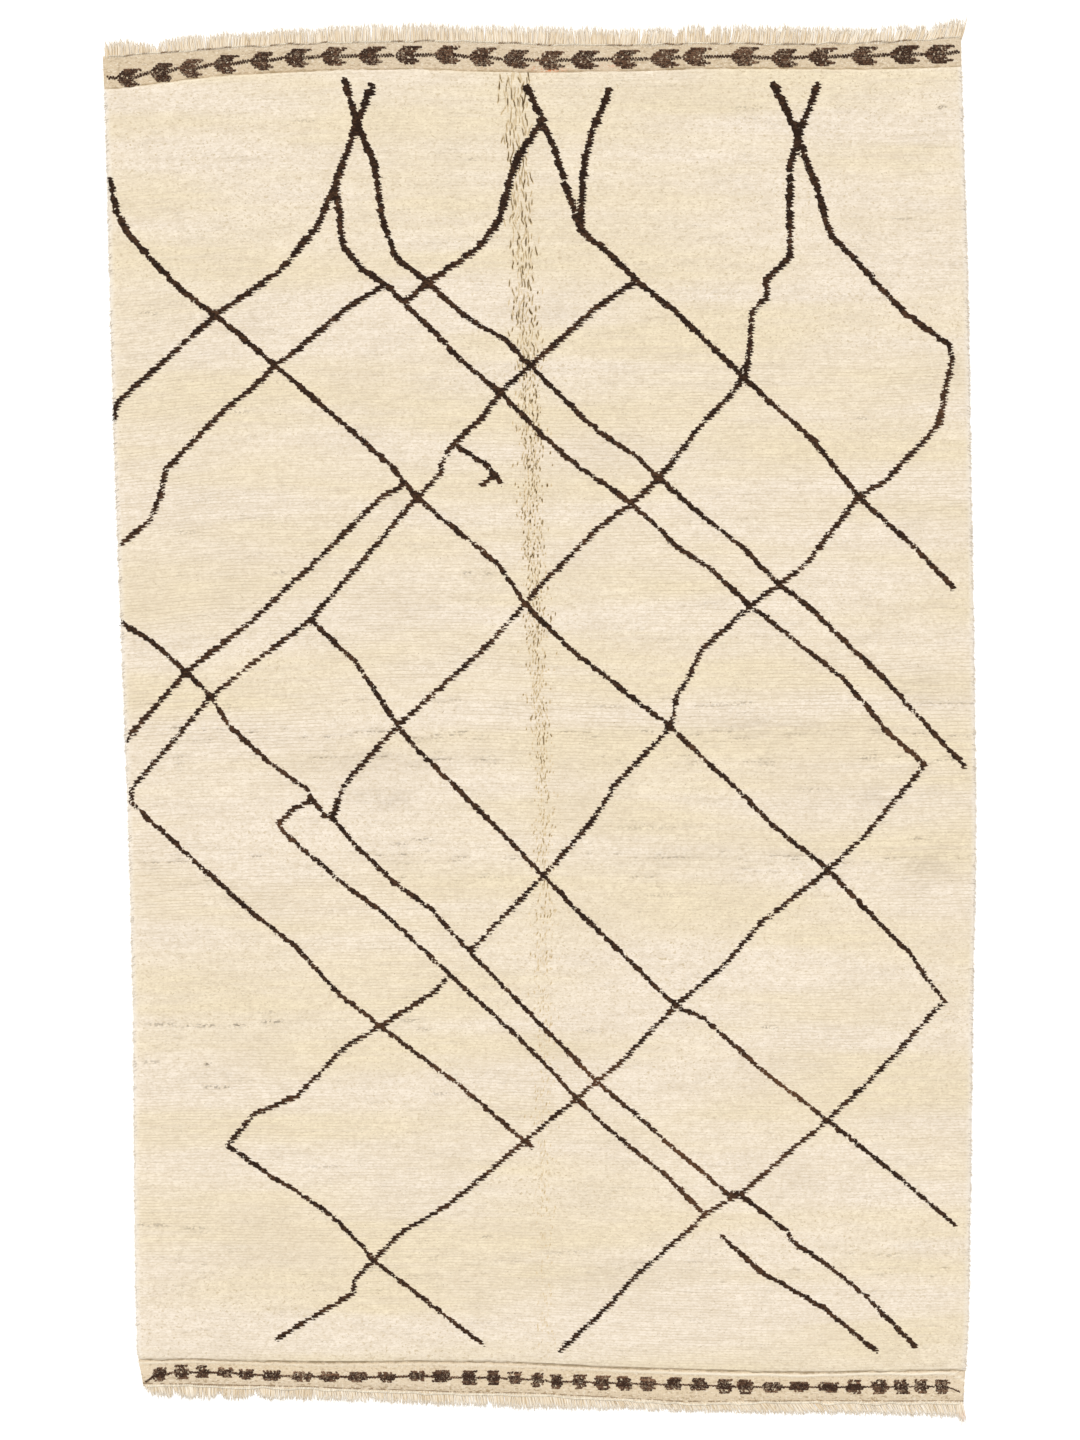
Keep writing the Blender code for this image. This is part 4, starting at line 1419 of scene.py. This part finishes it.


def side_tufts(name, side, outward, seed):
    """Tapered tufts along one long side."""
    rng = np.random.default_rng(seed)
    low, high = float(bottom_step(side(0.0))) + 0.002, float(top_step(side(0.0))) - 0.004
    count = round((high - low) / TUFT_STEP) * 2
    y = rng.uniform(low, high, count)
    share = np.linspace(0, 1, len(TUFT_RADII))
    out = rng.uniform(*TUFT_OUT, count)
    down = rng.uniform(*TUFT_DOWN, count)
    start_z = rng.uniform(*TUFT_ROOTS, count)
    drop = rng.uniform(*TUFT_DROP, count)
    inside = 0.0035 + 0.5 * np.maximum(start_z - 0.0045, 0)
    x = side(y)[:, None] + outward * (-inside[:, None] + (inside + out)[:, None] * share)
    ty = y[:, None] - down[:, None] * share ** 1.5
    tz = np.maximum(start_z[:, None] - drop[:, None] * share ** 2, 0.0012)
    radius = TUFT_RADII * rng.uniform(0.7, 1.2, (count, 1))
    row = inside_line(side(y)[:, None], y[:, None], np.round(y[:, None] / KNOT_ROW))
    # A tuft's row is set clear of the painted groove shade, and its side value gives it the sides'
    # painted light.
    return tubes(name, np.stack([x, ty, tz], 2), radius, 3,
                 {"line": row[:, 0], "row": np.round(y / KNOT_ROW) + LIT_PART,
                  "side": np.full(count, 0.8)})


left_tufts = side_tufts("tufts_left", left_side, -1, 121)
right_tufts = side_tufts("tufts_right", right_side, 1, 131)
print("side tufts:", len(left_tufts.data.polygons) + len(right_tufts.data.polygons), "faces")

# %% [markdown]
# ## Loose hairs
# Hand-spun wool sheds, and a halo of fine pale hairs stands out from both sides, also
# beside the flat ends. Thin three-sided tubes are enough for them, each with its own
# slant.

# %% Hairs
HAIR_STEP = 0.0026
HAIR_RADII = 0.00026 * np.array([1.0, 0.95, 0.8, 0.35])
HAIR_ROOTS = (0.0010, 0.0028)        # how high they start, beside the flat ends
HAIR_ROOTS_IN_PILE = (0.0020, 0.0085)


def side_hairs(name, side, span, outward, seed):
    """Fine hairs that stand out from one long side, over this span along it."""
    low, high = span
    rng = np.random.default_rng(seed)
    count = round((high - low) / HAIR_STEP)
    y = rng.uniform(low, high, count)
    share = np.linspace(0, 1, len(HAIR_RADII))
    out = rng.uniform(0.0010, 0.0062, count) * rng.uniform(0.5, 1.0, count)
    slant = rng.normal(-0.001, 0.0028, count)
    curl = rng.normal(0, 0.0009, count)
    beside_pile = (y > float(bottom_step(side(0.0)))) & (y < float(top_step(side(0.0))))
    start_z = np.where(beside_pile, rng.uniform(*HAIR_ROOTS_IN_PILE, count),
                       rng.uniform(*HAIR_ROOTS, count))
    x = side(y)[:, None] + outward * (-0.002 + (0.002 + out[:, None]) * share)
    ty = y[:, None] + slant[:, None] * share ** 1.3 + curl[:, None] * np.sin(np.pi * share)
    tz = start_z[:, None] + rng.uniform(-0.0006, 0.0012, (count, 1)) * share
    radius = HAIR_RADII * rng.uniform(0.8, 1.2, (count, 1))
    return tubes(name, np.stack([x, ty, tz], 2), radius, 3, {"tone": rng.uniform(0, 0.5, count)})


left_hairs = side_hairs("hairs_left", left_side, LEFT_SPAN, -1, 151)
right_hairs = side_hairs("hairs_right", right_side, RIGHT_SPAN, 1, 161)
print("hairs:", len(left_hairs.data.polygons) + len(right_hairs.data.polygons), "faces")

# %% [markdown]
# ## Shader helpers
# Materials are built from nodes, and small helpers keep that readable. They add a node
# or a node group and fill or join its inputs, do one step of arithmetic, read a named
# value from the mesh, or scatter spots of noise. Colours are given as a dyer's colour
# card has them, from 0 to 255, and are turned into the linear light that the shader
# counts in.

# %% Node helpers
def card(red, green, blue):
    """A colour from 0 to 255 as linear light."""
    def linear(value):
        value /= 255
        return value / 12.92 if value <= 0.04045 else ((value + 0.055) / 1.055) ** 2.4
    return (linear(red), linear(green), linear(blue), 1.0)


def add(tree, kind, inputs=None, **settings):
    """Adds a node. Each input is set to a value, or joined to another node's output."""
    made = tree.nodes.new("ShaderNode" + kind)
    for name, value in settings.items():
        setattr(made, name, value)
    for name, value in (inputs or {}).items():
        if isinstance(value, bpy.types.NodeSocket):
            tree.links.new(value, made.inputs[name])
        else:
            made.inputs[name].default_value = value
    return made


def use_group(tree, group, inputs):
    """Places a node group in a tree and returns its outputs."""
    return add(tree, "Group", inputs, node_tree=group).outputs


def calc(tree, operation, first, second=0.0, third=0.0):
    """One step of arithmetic."""
    return add(tree, "Math", {0: first, 1: second, 2: third}, operation=operation).outputs[0]


def times(tree, first, *others):
    """Values multiplied together."""
    for other in others:
        first = calc(tree, "MULTIPLY", first, other)
    return first


def rest_of(tree, value):
    """What is left of 1."""
    return calc(tree, "SUBTRACT", 1.0, value)


def either_way(tree, value, width):
    """A value from 0 to 1, made to run as far below 0 as above it."""
    return times(tree, calc(tree, "SUBTRACT", value, 0.5), width)


def ramp(tree, value, low, high):
    """0 below low, 1 above high, smooth between."""
    return add(tree, "MapRange", {"Value": value, "From Min": low, "From Max": high},
               interpolation_type="SMOOTHSTEP").outputs["Result"]


def blend(tree, share, first, second):
    """A mix of two colours."""
    return add(tree, "Mix", {0: share, 6: first, 7: second}, data_type="RGBA").outputs[2]


def noise(tree, size_x, size_y, size_z=None, detail=2.0, shift=0.0):
    """Soft noise from 0 to 1 with grains of this size in metres."""
    place = add(tree, "TexCoord").outputs["Object"]
    scale = (1 / size_x, 1 / size_y, 1 / (size_z or size_y))
    place = add(tree, "Mapping", {"Vector": place, "Location": (shift, shift, shift),
                                  "Scale": scale}).outputs[0]
    return add(tree, "TexNoise", {"Vector": place, "Scale": 1.0, "Detail": detail}).outputs["Fac"]


def spots(tree, size_x, size_y, low, high, **settings):
    """Soft-edged spots of this size. The higher low and high, the fewer there are."""
    return ramp(tree, noise(tree, size_x, size_y, **settings), low, high)


def tint(tree, ground, mask, share, colour):
    """Mixes this share of a colour from 0 to 255 into the ground, where the mask is."""
    return blend(tree, times(tree, mask, share), ground, card(*colour))


def place_parts(tree):
    """A point's place on the rug, as its X, Y and Z."""
    place = add(tree, "TexCoord").outputs["Object"]
    return add(tree, "SeparateXYZ", {0: place}).outputs


def value_of(tree, name):
    """A value kept on the mesh."""
    return add(tree, "Attribute", attribute_name=name).outputs["Fac"]


def start_group(name, inputs, outputs):
    """A node group with named sockets: (tree, its inputs, the node that takes its outputs)."""
    tree = bpy.data.node_groups.new(name, "ShaderNodeTree")
    for title, kind in inputs:
        tree.interface.new_socket(title, in_out="INPUT", socket_type="NodeSocket" + kind)
    for title, kind in outputs:
        tree.interface.new_socket(title, in_out="OUTPUT", socket_type="NodeSocket" + kind)
    return tree, tree.nodes.new("NodeGroupInput").outputs, tree.nodes.new("NodeGroupOutput").inputs


print("a cream from the card:", [round(part, 3) for part in card(239, 224, 199)])

# %% [markdown]
# ## Wool, for every piece
# All of the rug is sheep's wool, spun by hand, so every material shares one group: fine
# fibres that catch the light, and slubs where the yarn is thicker or darker.

# %% Wool group
wool, wool_in, wool_out = start_group(
    "spun_wool", [("Size", "Float"), ("Stretch", "Float")], [("Speckle", "Float"), ("Height", "Float")])
parts = place_parts(wool)
across = calc(wool, "DIVIDE", parts["X"], wool_in["Stretch"])
squeezed = add(wool, "CombineXYZ", {"X": across, "Y": parts["Y"], "Z": parts["Z"]}).outputs[0]
per_size = calc(wool, "DIVIDE", 1.0, wool_in["Size"])
fine = add(wool, "TexNoise", {"Vector": squeezed, "Scale": per_size, "Detail": 3.0}).outputs["Fac"]
per_slub = times(wool, per_size, 0.31)
coarse = add(wool, "TexNoise", {"Vector": squeezed, "Scale": per_slub, "Detail": 2.0}).outputs["Fac"]
both = calc(wool, "ADD", times(wool, fine, 0.6), times(wool, coarse, 0.4))
wool.links.new(ramp(wool, both, 0.36, 0.64), wool_out["Speckle"])
wool.links.new(both, wool_out["Height"])
print("wool group:", len(wool.nodes), "nodes")

# %% [markdown]
# ## Undyed cream, with its bands
# Each spinning of undyed wool is a little paler, warmer or duller than the last, so a
# rug shows soft bands along its rows. The group mixes three creams: in broad bands, in
# narrow ones, and in worn patches.

# %% Cream group
cream, cream_in, cream_out = start_group(
    "banded_cream", [("Pale", "Color"), ("Warm", "Color"), ("Dusky", "Color")],
    [("Color", "Color")])
broad_bands = spots(cream, 0.70, 0.085, 0.38, 0.64, detail=3.0)
narrow_bands = spots(cream, 0.16, 0.0095, 0.44, 0.70, shift=7.3)
patches = spots(cream, 0.20, 0.14, 0.48, 0.74, detail=3.0, shift=3.1)
base = blend(cream, broad_bands, cream_in["Pale"], cream_in["Warm"])
dusk = calc(cream, "MAXIMUM", times(cream, narrow_bands, 0.45), times(cream, patches, 0.55))
cream.links.new(blend(cream, dusk, base, cream_in["Dusky"]), cream_out["Color"])
print("cream group:", len(cream.nodes), "nodes")

# %% [markdown]
# ## Plain weave
# Where there is no pile, warps and wefts cross one over one. The group gives the height
# of that chequer, and a mask of the gaps at its crossings where the materials paint shade.
# Real weaving of this fineness would take millions of faces, so below the ribs of the
# mesh it is left to the shader.

# %% Weave group
weave, weave_in, weave_out = start_group(
    "plain_weave", [("Warp Step", "Float"), ("Weft Step", "Float")],
    [("Height", "Float"), ("Gap Shade", "Float")])
parts = place_parts(weave)
wobble = either_way(weave, noise(weave, 0.02, 0.02), 0.004)


def threads(part, step):
    """A wave that rises and falls with the threads that cross this part of the place."""
    thread = calc(weave, "DIVIDE", calc(weave, "ADD", parts[part], wobble), weave_in[step])
    return calc(weave, "SINE", times(weave, thread, math.pi))


chequer = times(weave, threads("X", "Warp Step"), threads("Y", "Weft Step"))
on_top = calc(weave, "ABSOLUTE", chequer)
height = calc(weave, "ADD", times(weave, on_top, 0.7), times(weave, chequer, 0.3))
weave.links.new(height, weave_out["Height"])
weave.links.new(rest_of(weave, ramp(weave, on_top, 0.02, 0.30)), weave_out["Gap Shade"])
print("weave group:", len(weave.nodes), "nodes")

# %% [markdown]
# ## Single knots
# Each knot is tied on its own, from a piece of yarn that is a little longer, darker or
# further to one side than the next. The group gives one random number to each knot. It
# finds the knot from its row, which the mesh carries, and from its place in the row.

# %% Knot group
knot, knot_in, knot_out = start_group(
    "single_knots", [("Row", "Float"), ("Knot Width", "Float")], [("Random", "Float")])
whole_row = calc(knot, "FLOOR", knot_in["Row"])
row_random = add(knot, "TexWhiteNoise", {"W": whole_row}, noise_dimensions="1D").outputs["Value"]
across = calc(knot, "DIVIDE", place_parts(knot)["X"], knot_in["Knot Width"])
in_row = calc(knot, "ADD", across, row_random)
cell = add(knot, "CombineXYZ", {"X": calc(knot, "FLOOR", in_row), "Y": whole_row}).outputs[0]
random = add(knot, "TexWhiteNoise", {"Vector": cell}, noise_dimensions="2D").outputs["Value"]
knot.links.new(random, knot_out["Random"])
print("knot group:", len(knot.nodes), "nodes")

# %% [markdown]
# ## Brown yarn
# The brown is wool from dark sheep, over-dyed by hand. It is nearly black at the end
# where weaving began and a redder brown further on, and a few lengths had already
# faded. The depth of the dye is worked out for each point of the pile.

# %% Depth of the dye
DYE_ALONG = ((-1.2, 0.18), (-0.2, 0.17), (0.0, 0.20), (0.55, 0.20), (0.85, 0.08), (1.2, 0.0))
FADED_CM = (
    # across, along, radius, how much paler
    (10, -63.5, 5, 0.55), (-14, -63, 5, 0.40), (43, -64, 7, 0.45), (25, -75, 7, 0.40),
    (39, -79, 6, 0.40), (-3, -73, 5, 0.35), (70.5, 54, 4, 0.12), (-50, 10, 6, 0.20),
    (-46, -19, 5, 0.25), (62, -3, 6, 0.25), (-33, 90, 6, 0.20), (28, -86, 6, 0.30),
)


def dye_at(x, y):
    """How pale the brown is: 0 nearly black, 1 faded."""
    depth = read(DYE_ALONG, y) + 0.16 * soft_noise(x, y, 0.09, 0.05, 141)
    for across_cm, along_cm, radius_cm, paler in FADED_CM:
        gap = np.hypot(x - across_cm / 100, y - along_cm / 100) / (radius_cm / 100)
        depth = depth + paler * np.exp(-gap ** 2)
    return np.clip(depth, 0, 1)


knotted = pile_pieces + [left_tufts, right_tufts]
for piece in knotted:
    points = np.empty((len(piece.data.vertices), 3), np.float32)
    piece.data.vertices.foreach_get("co", points.ravel())
    keep_values(piece.data, "dye", dye_at(points[:, 0], points[:, 1]))
print("dye set on", len(knotted), "pieces")


# %% Brown group
brown, brown_in, brown_out = start_group(
    "brown_yarn", [("Dark", "Color"), ("Faded", "Color"), ("Dye", "Float"), ("Speckle", "Float")],
    [("Color", "Color")])
share = calc(brown, "ADD", times(brown, brown_in["Dye"], 0.75),
             either_way(brown, brown_in["Speckle"], 0.50))
share = calc(brown, "MAXIMUM", 0.0, calc(brown, "MINIMUM", 1.0, share))
brown.links.new(blend(brown, share, brown_in["Dark"], brown_in["Faded"]), brown_out["Color"])


# %% Starting a wool material
BROWN_DARK = card(41, 27, 18)
BROWN_FADED = card(114, 80, 55)


def wool_material(name, size, stretch, sheen):
    """A matt wool material: (material, tree, shader, the wool group's outputs)."""
    material = bpy.data.materials.new(name)
    material.use_nodes = True
    tree = material.node_tree
    shader = tree.nodes["Principled BSDF"]
    shader.inputs["Roughness"].default_value = 0.92
    shader.inputs["Specular IOR Level"].default_value = 0.15
    shader.inputs["Sheen Weight"].default_value = sheen
    shader.inputs["Sheen Roughness"].default_value = 0.6
    return material, tree, shader, use_group(tree, wool, {"Size": size, "Stretch": stretch})


def join(tree, shader, colour, height, rise):
    """Feeds a colour and a bump of this rise in metres to the shader."""
    tree.links.new(colour, shader.inputs["Base Color"])
    bump = add(tree, "Bump", {"Height": height, "Strength": 1.0, "Distance": rise})
    tree.links.new(bump.outputs[0], shader.inputs["Normal"])


def creams(tree, pale, warm, dusky):
    """The banded cream in these three colours from 0 to 255."""
    return use_group(tree, cream, {"Pale": card(*pale), "Warm": card(*warm),
                                   "Dusky": card(*dusky)})["Color"]


def browns(tree, dye, speckle):
    """The brown yarn of the knots, at this depth of dye."""
    return use_group(tree, brown, {"Dark": BROWN_DARK, "Faded": BROWN_FADED, "Dye": dye,
                                   "Speckle": speckle})["Color"]


print("materials can start")

# %% [markdown]
# ## The pile's material
# Cream and brown knots are one surface, so they are one material: it turns brown where
# the mesh says that a point is inside a line. Loose fibres blur that edge by about a
# millimetre. In the partings the wool is golden from age, and painted dark as their shade
# where they are deepest.

# %% Pile material
PARTING_GOLD = card(217, 195, 156)
PARTING_SHADE = card(90, 71, 44)
SIDE_PAINTED_LIGHT = (247, 241, 232)
KNOT_WIDTH = 0.0050

pile_material, tree, shader, grain = wool_material("knotted_pile", 0.0030, 1.6, 0.015)
ground = creams(tree, (245, 233, 217), (240, 226, 197), (230, 216, 196))
row = value_of(tree, "row")
one_knot = use_group(tree, knot, {"Row": row, "Knot Width": KNOT_WIDTH})["Random"]
duller = calc(tree, "MAXIMUM", either_way(tree, one_knot, 0.52), 0.0)
ground = blend(tree, duller, ground, card(214, 197, 172))
# Painted shade: the grooves between rows of knots are darkened, most where the pile lies combed.
in_row = calc(tree, "ABSOLUTE", calc(tree, "SUBTRACT", calc(tree, "FRACT", row), 0.5))
groove_shade = times(tree, ramp(tree, in_row, 0.33, 0.50),
               spots(tree, 0.040, 0.0060, 0.32, 0.56, shift=4.4))
groove_shade_share = times(tree, value_of(tree, "combed_row_shade"), 0.82)
ground = tint(tree, ground, groove_shade, groove_shade_share, (200, 182, 152))
dashes = spots(tree, 0.0070, 0.0028, 0.55, 0.70, shift=1.7)
ground = tint(tree, ground, dashes, 0.52, (203, 185, 158))
pebbles = spots(tree, 0.0056, 0.0046, 0.60, 0.74, detail=1.0, shift=15.1)
pebbled = calc(tree, "SUBTRACT", 1.1, value_of(tree, "combed_row_shade"))
ground = tint(tree, ground, pebbles, pebbled, (206, 188, 156))
ground = tint(tree, ground, rest_of(tree, grain["Speckle"]), 0.44, (210, 193, 166))
specks = spots(tree, 0.0042, 0.0030, 0.72, 0.78, detail=1.0, shift=12.6)
ground = tint(tree, ground, specks, 0.60, (160, 141, 112))
cloudy = spots(tree, 0.030, 0.0070, 0.30, 0.62, detail=3.0, shift=6.6)
ground = tint(tree, ground, value_of(tree, "smudge"), cloudy, (176, 160, 140))
# Grey flecks of wool, and painted shade in the open rows.
broken = spots(tree, 0.0056, 0.0042, 0.46, 0.58, detail=1.0, shift=8.2)
ground = tint(tree, ground, value_of(tree, "grey_and_gap_shade"), broken, (116, 103, 87))
parting = value_of(tree, "parting")
ground = blend(tree, ramp(tree, parting, 0.02, 0.40), ground, PARTING_GOLD)
# Painted shade: the deepest parts of the slits are darkened.
ground = blend(tree, ramp(tree, parting, 0.22, 0.90), ground, PARTING_SHADE)
# Painted light: the outermost wool of the sides and of the side tufts is made paler, which lifts the
# shade of the side roll.
ground = tint(tree, ground, value_of(tree, "side"), 0.60, SIDE_PAINTED_LIGHT)
early_late = either_way(tree, one_knot, 0.0026)
ragged = either_way(tree, noise(tree, 0.0050, 0.0020), 0.0046)
inside = calc(tree, "ADD", calc(tree, "ADD", value_of(tree, "line"), early_late), ragged)
mask = ramp(tree, inside, -0.0003, 0.0005)
knots_brown = browns(tree, value_of(tree, "dye"), grain["Speckle"])
join(tree, shader, blend(tree, mask, ground, knots_brown), grain["Height"], 0.0011)
for piece in knotted:
    piece.data.materials.append(pile_material)
print("pile material:", len(tree.nodes), "nodes")

# %% [markdown]
# ## The flat weave's material
# The ends are beige, duller than the pile, and dingiest beside the bottom fringe. The
# first firm line of weaving is paler than the rest, partly in its wool and partly as a
# painted highlight on its raised ridge, with a dark painted shadow between it and the knots.

# %% Flat weave material
flat_material, tree, shader, grain = wool_material("flat_weave", 0.0016, 2.2, 0.03)
ground = creams(tree, (234, 217, 192), (229, 210, 180), (214, 194, 164))
cross = use_group(tree, weave, {"Warp Step": 0.0030, "Weft Step": 0.0017})
from_edge_out = value_of(tree, "from_edge")
lower_end = value_of(tree, "bottom_end")
dingy = times(tree, rest_of(tree, ramp(tree, from_edge_out, 0.010, 0.018)), lower_end)
ground = tint(tree, ground, dingy, 0.42, (198, 178, 150))
ground = tint(tree, ground, rest_of(tree, lower_end), 0.36, (203, 183, 154))
flecks = spots(tree, 0.0060, 0.0032, 0.52, 0.66, shift=5.5)
fleck_share = calc(tree, "ADD", 0.44, times(tree, dingy, 0.32))
ground = tint(tree, ground, flecks, fleck_share, (160, 134, 100))
pale_flecks = spots(tree, 0.0058, 0.0030, 0.54, 0.66, shift=6.9)
ground = tint(tree, ground, pale_flecks, 0.62, (245, 233, 213))
# Painted shade in the gaps between the threads.
ground = tint(tree, ground, cross["Gap Shade"], 0.16, (160, 132, 100))
# Painted shade: a dotted dark line just inside the bottom twined line.
beside_edge = calc(tree, "ABSOLUTE", calc(tree, "SUBTRACT", from_edge_out, 0.0052))
cord_shade_dots = times(tree, rest_of(tree, ramp(tree, beside_edge, 0.0005, 0.0020)),
               spots(tree, 0.0070, 0.0200, 0.38, 0.52, shift=3.3))
ground = tint(tree, ground, cord_shade_dots, times(tree, lower_end, 0.75), (122, 96, 68))
# Partly painted highlight: the raised firm line is made paler.
ground = tint(tree, ground, value_of(tree, "firm"), 0.95, (252, 242, 222))
# Painted shadow along the edge of the pile, where its last knots shade the weave. At the top end the
# line is partly the brownish roots of the pile.
uneven = times(tree, noise(tree, 0.020, 0.03, detail=3.0, shift=2.2), 0.0060)
from_knots = calc(tree, "SUBTRACT", value_of(tree, "from_pile"), uneven)
crack_shadow_and_roots = rest_of(tree, ramp(tree, from_knots, -0.0014, 0.0012))
crack_shadow_and_roots_share = times(tree, 0.60, spots(tree, 0.016, 0.02, 0.32, 0.64, shift=1.2))
crack_shadow_and_roots_colour = blend(tree, lower_end, card(164, 143, 108), card(132, 108, 80))
ground = blend(tree, times(tree, crack_shadow_and_roots, crack_shadow_and_roots_share), ground, crack_shadow_and_roots_colour)
red_flecks = spots(tree, 0.0034, 0.0026, 0.47, 0.60, detail=1.0, shift=9.1)
red = times(tree, value_of(tree, "stain"), red_flecks)
ground = tint(tree, ground, red, 0.85, (222, 120, 62))
height = calc(tree, "ADD", times(tree, cross["Height"], 0.6), grain["Height"])
join(tree, shader, ground, height, 0.0007)
print("flat weave:", len(tree.nodes), "nodes")

# %% [markdown]
# ## The underside's material
# A knotted rug shows its pattern at the back too, as the brown knots wrap round the
# warps there. The weave is coarser to the eye, with the rows of knots side by side.

# %% Underside material
BACK_HALF_WIDTH = 0.0058
BACK_SOFT_EDGE = 0.0012
BACK_LINE_ENDS = (0.0128, 0.0112)    # how far from a line its brown is gone, and whole

back_material, tree, shader, grain = wool_material("woven_back", 0.0022, 1.5, 0.05)
ground = creams(tree, (228, 211, 184), (219, 199, 169), (202, 181, 150))
cross = use_group(tree, weave, {"Warp Step": 0.0036, "Weft Step": KNOT_ROW / 2})
rough_edge = either_way(tree, noise(tree, 0.006, 0.003), 0.006)
across_line = calc(tree, "ADD", calc(tree, "ABSOLUTE", value_of(tree, "across_line")), rough_edge)
mask = times(tree, ramp(tree, across_line, BACK_HALF_WIDTH, BACK_HALF_WIDTH - BACK_SOFT_EDGE),
             ramp(tree, value_of(tree, "distance"), *BACK_LINE_ENDS))
ground = blend(tree, mask, ground, browns(tree, 0.5, grain["Speckle"]))
# Painted shade in the gaps between the threads.
ground = tint(tree, ground, cross["Gap Shade"], 0.35, (120, 96, 70))
join(tree, shader, ground, calc(tree, "ADD", cross["Height"], grain["Height"]), 0.0008)
cloth.data.materials.append(flat_material)
cloth.data.materials.append(back_material)
print("underside:", len(tree.nodes), "nodes")

# %% [markdown]
# ## Yarns: figures, twined lines and fringe
# The last materials are for single yarns. Each mixes two tones by a value that every
# grain or strand carries, so neighbours differ as real yarns do.

# %% Yarn materials
def yarn_material(name, first, second, by, speckle, size, rise, finish=None):
    """A material that mixes two yarn colours by a value on the mesh, and may be finished."""
    material, tree, shader, grain = wool_material(name, size, 1.0, 0.03)
    ground = blend(tree, value_of(tree, by), card(*first), card(*second))
    ground = tint(tree, ground, grain["Speckle"], speckle, second)
    if finish:
        ground = finish(tree, ground)
    join(tree, shader, ground, grain["Height"], rise)
    return material


def with_bare_dots(tree, colour):
    """The pale warps that show as dots between brown floats."""
    dots = spots(tree, 0.0030, 0.0026, 0.56, 0.68, detail=0.0, shift=2.7)
    parts_of_figure = spots(tree, 0.030, 0.020, 0.36, 0.58, detail=1.0, shift=8.8)
    return tint(tree, colour, times(tree, dots, parts_of_figure), 0.50, (206, 184, 156))


def aged_warp_with_shade(tree, colour):
    """Painted shade in tan on the strands' sideways flanks near the weave, bleached towards the tips,
    pink in one corner.
    """
    facing = add(tree, "SeparateXYZ", {0: add(tree, "NewGeometry").outputs["Normal"]}).outputs["Z"]
    along = value_of(tree, "along")
    flank_shade = times(tree, rest_of(tree, ramp(tree, facing, 0.10, 0.80)),
                  rest_of(tree, ramp(tree, along, 0.35, 0.95)))
    colour = tint(tree, colour, flank_shade, 0.52, (190, 160, 114))
    dyed = times(tree, value_of(tree, "stain"), ramp(tree, along, 0.4, 0.9))
    colour = tint(tree, colour, dyed, 0.75, (243, 205, 180))
    return tint(tree, colour, ramp(tree, along, 0.60, 1.0), 0.50, (252, 248, 241))


figure_material = yarn_material("figure_yarn", (54, 33, 22), (140, 105, 80), "shade", 0.12,
                                0.0011, 0.0005, with_bare_dots)
twine_material = yarn_material("twine_yarn", (251, 241, 221), (138, 111, 82), "shade", 0.08,
                               0.0012, 0.0004)
fringe_material = yarn_material("cut_warp_yarn", (252, 244, 230), (222, 201, 168), "tone", 0.14,
                                0.0016, 0.0005, aged_warp_with_shade)
for material, pieces in ((figure_material, (top_figures, bottom_figures)),
                         (twine_material, (twine_top, twine_bottom)),
                         (fringe_material, (*warps, left_hairs, right_hairs))):
    for piece in pieces:
        piece.data.materials.append(material)
print(len(bpy.data.materials), "materials in all")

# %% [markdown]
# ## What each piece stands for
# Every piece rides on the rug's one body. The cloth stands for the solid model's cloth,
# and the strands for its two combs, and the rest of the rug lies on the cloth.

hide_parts("rug_cloth")
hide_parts("fringe_top")
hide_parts("fringe_bottom")
on_cloth = knotted + [left_hairs, right_hairs, top_figures, bottom_figures, twine_top,
                      twine_bottom]
for piece in [cloth] + on_cloth + warps:
    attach(piece, "root")
triangles = {piece.name: sum(len(face.vertices) - 2 for face in piece.data.polygons)
             for piece in [cloth] + on_cloth + warps}
print(triangles)
print("triangles in all:", sum(triangles.values()))
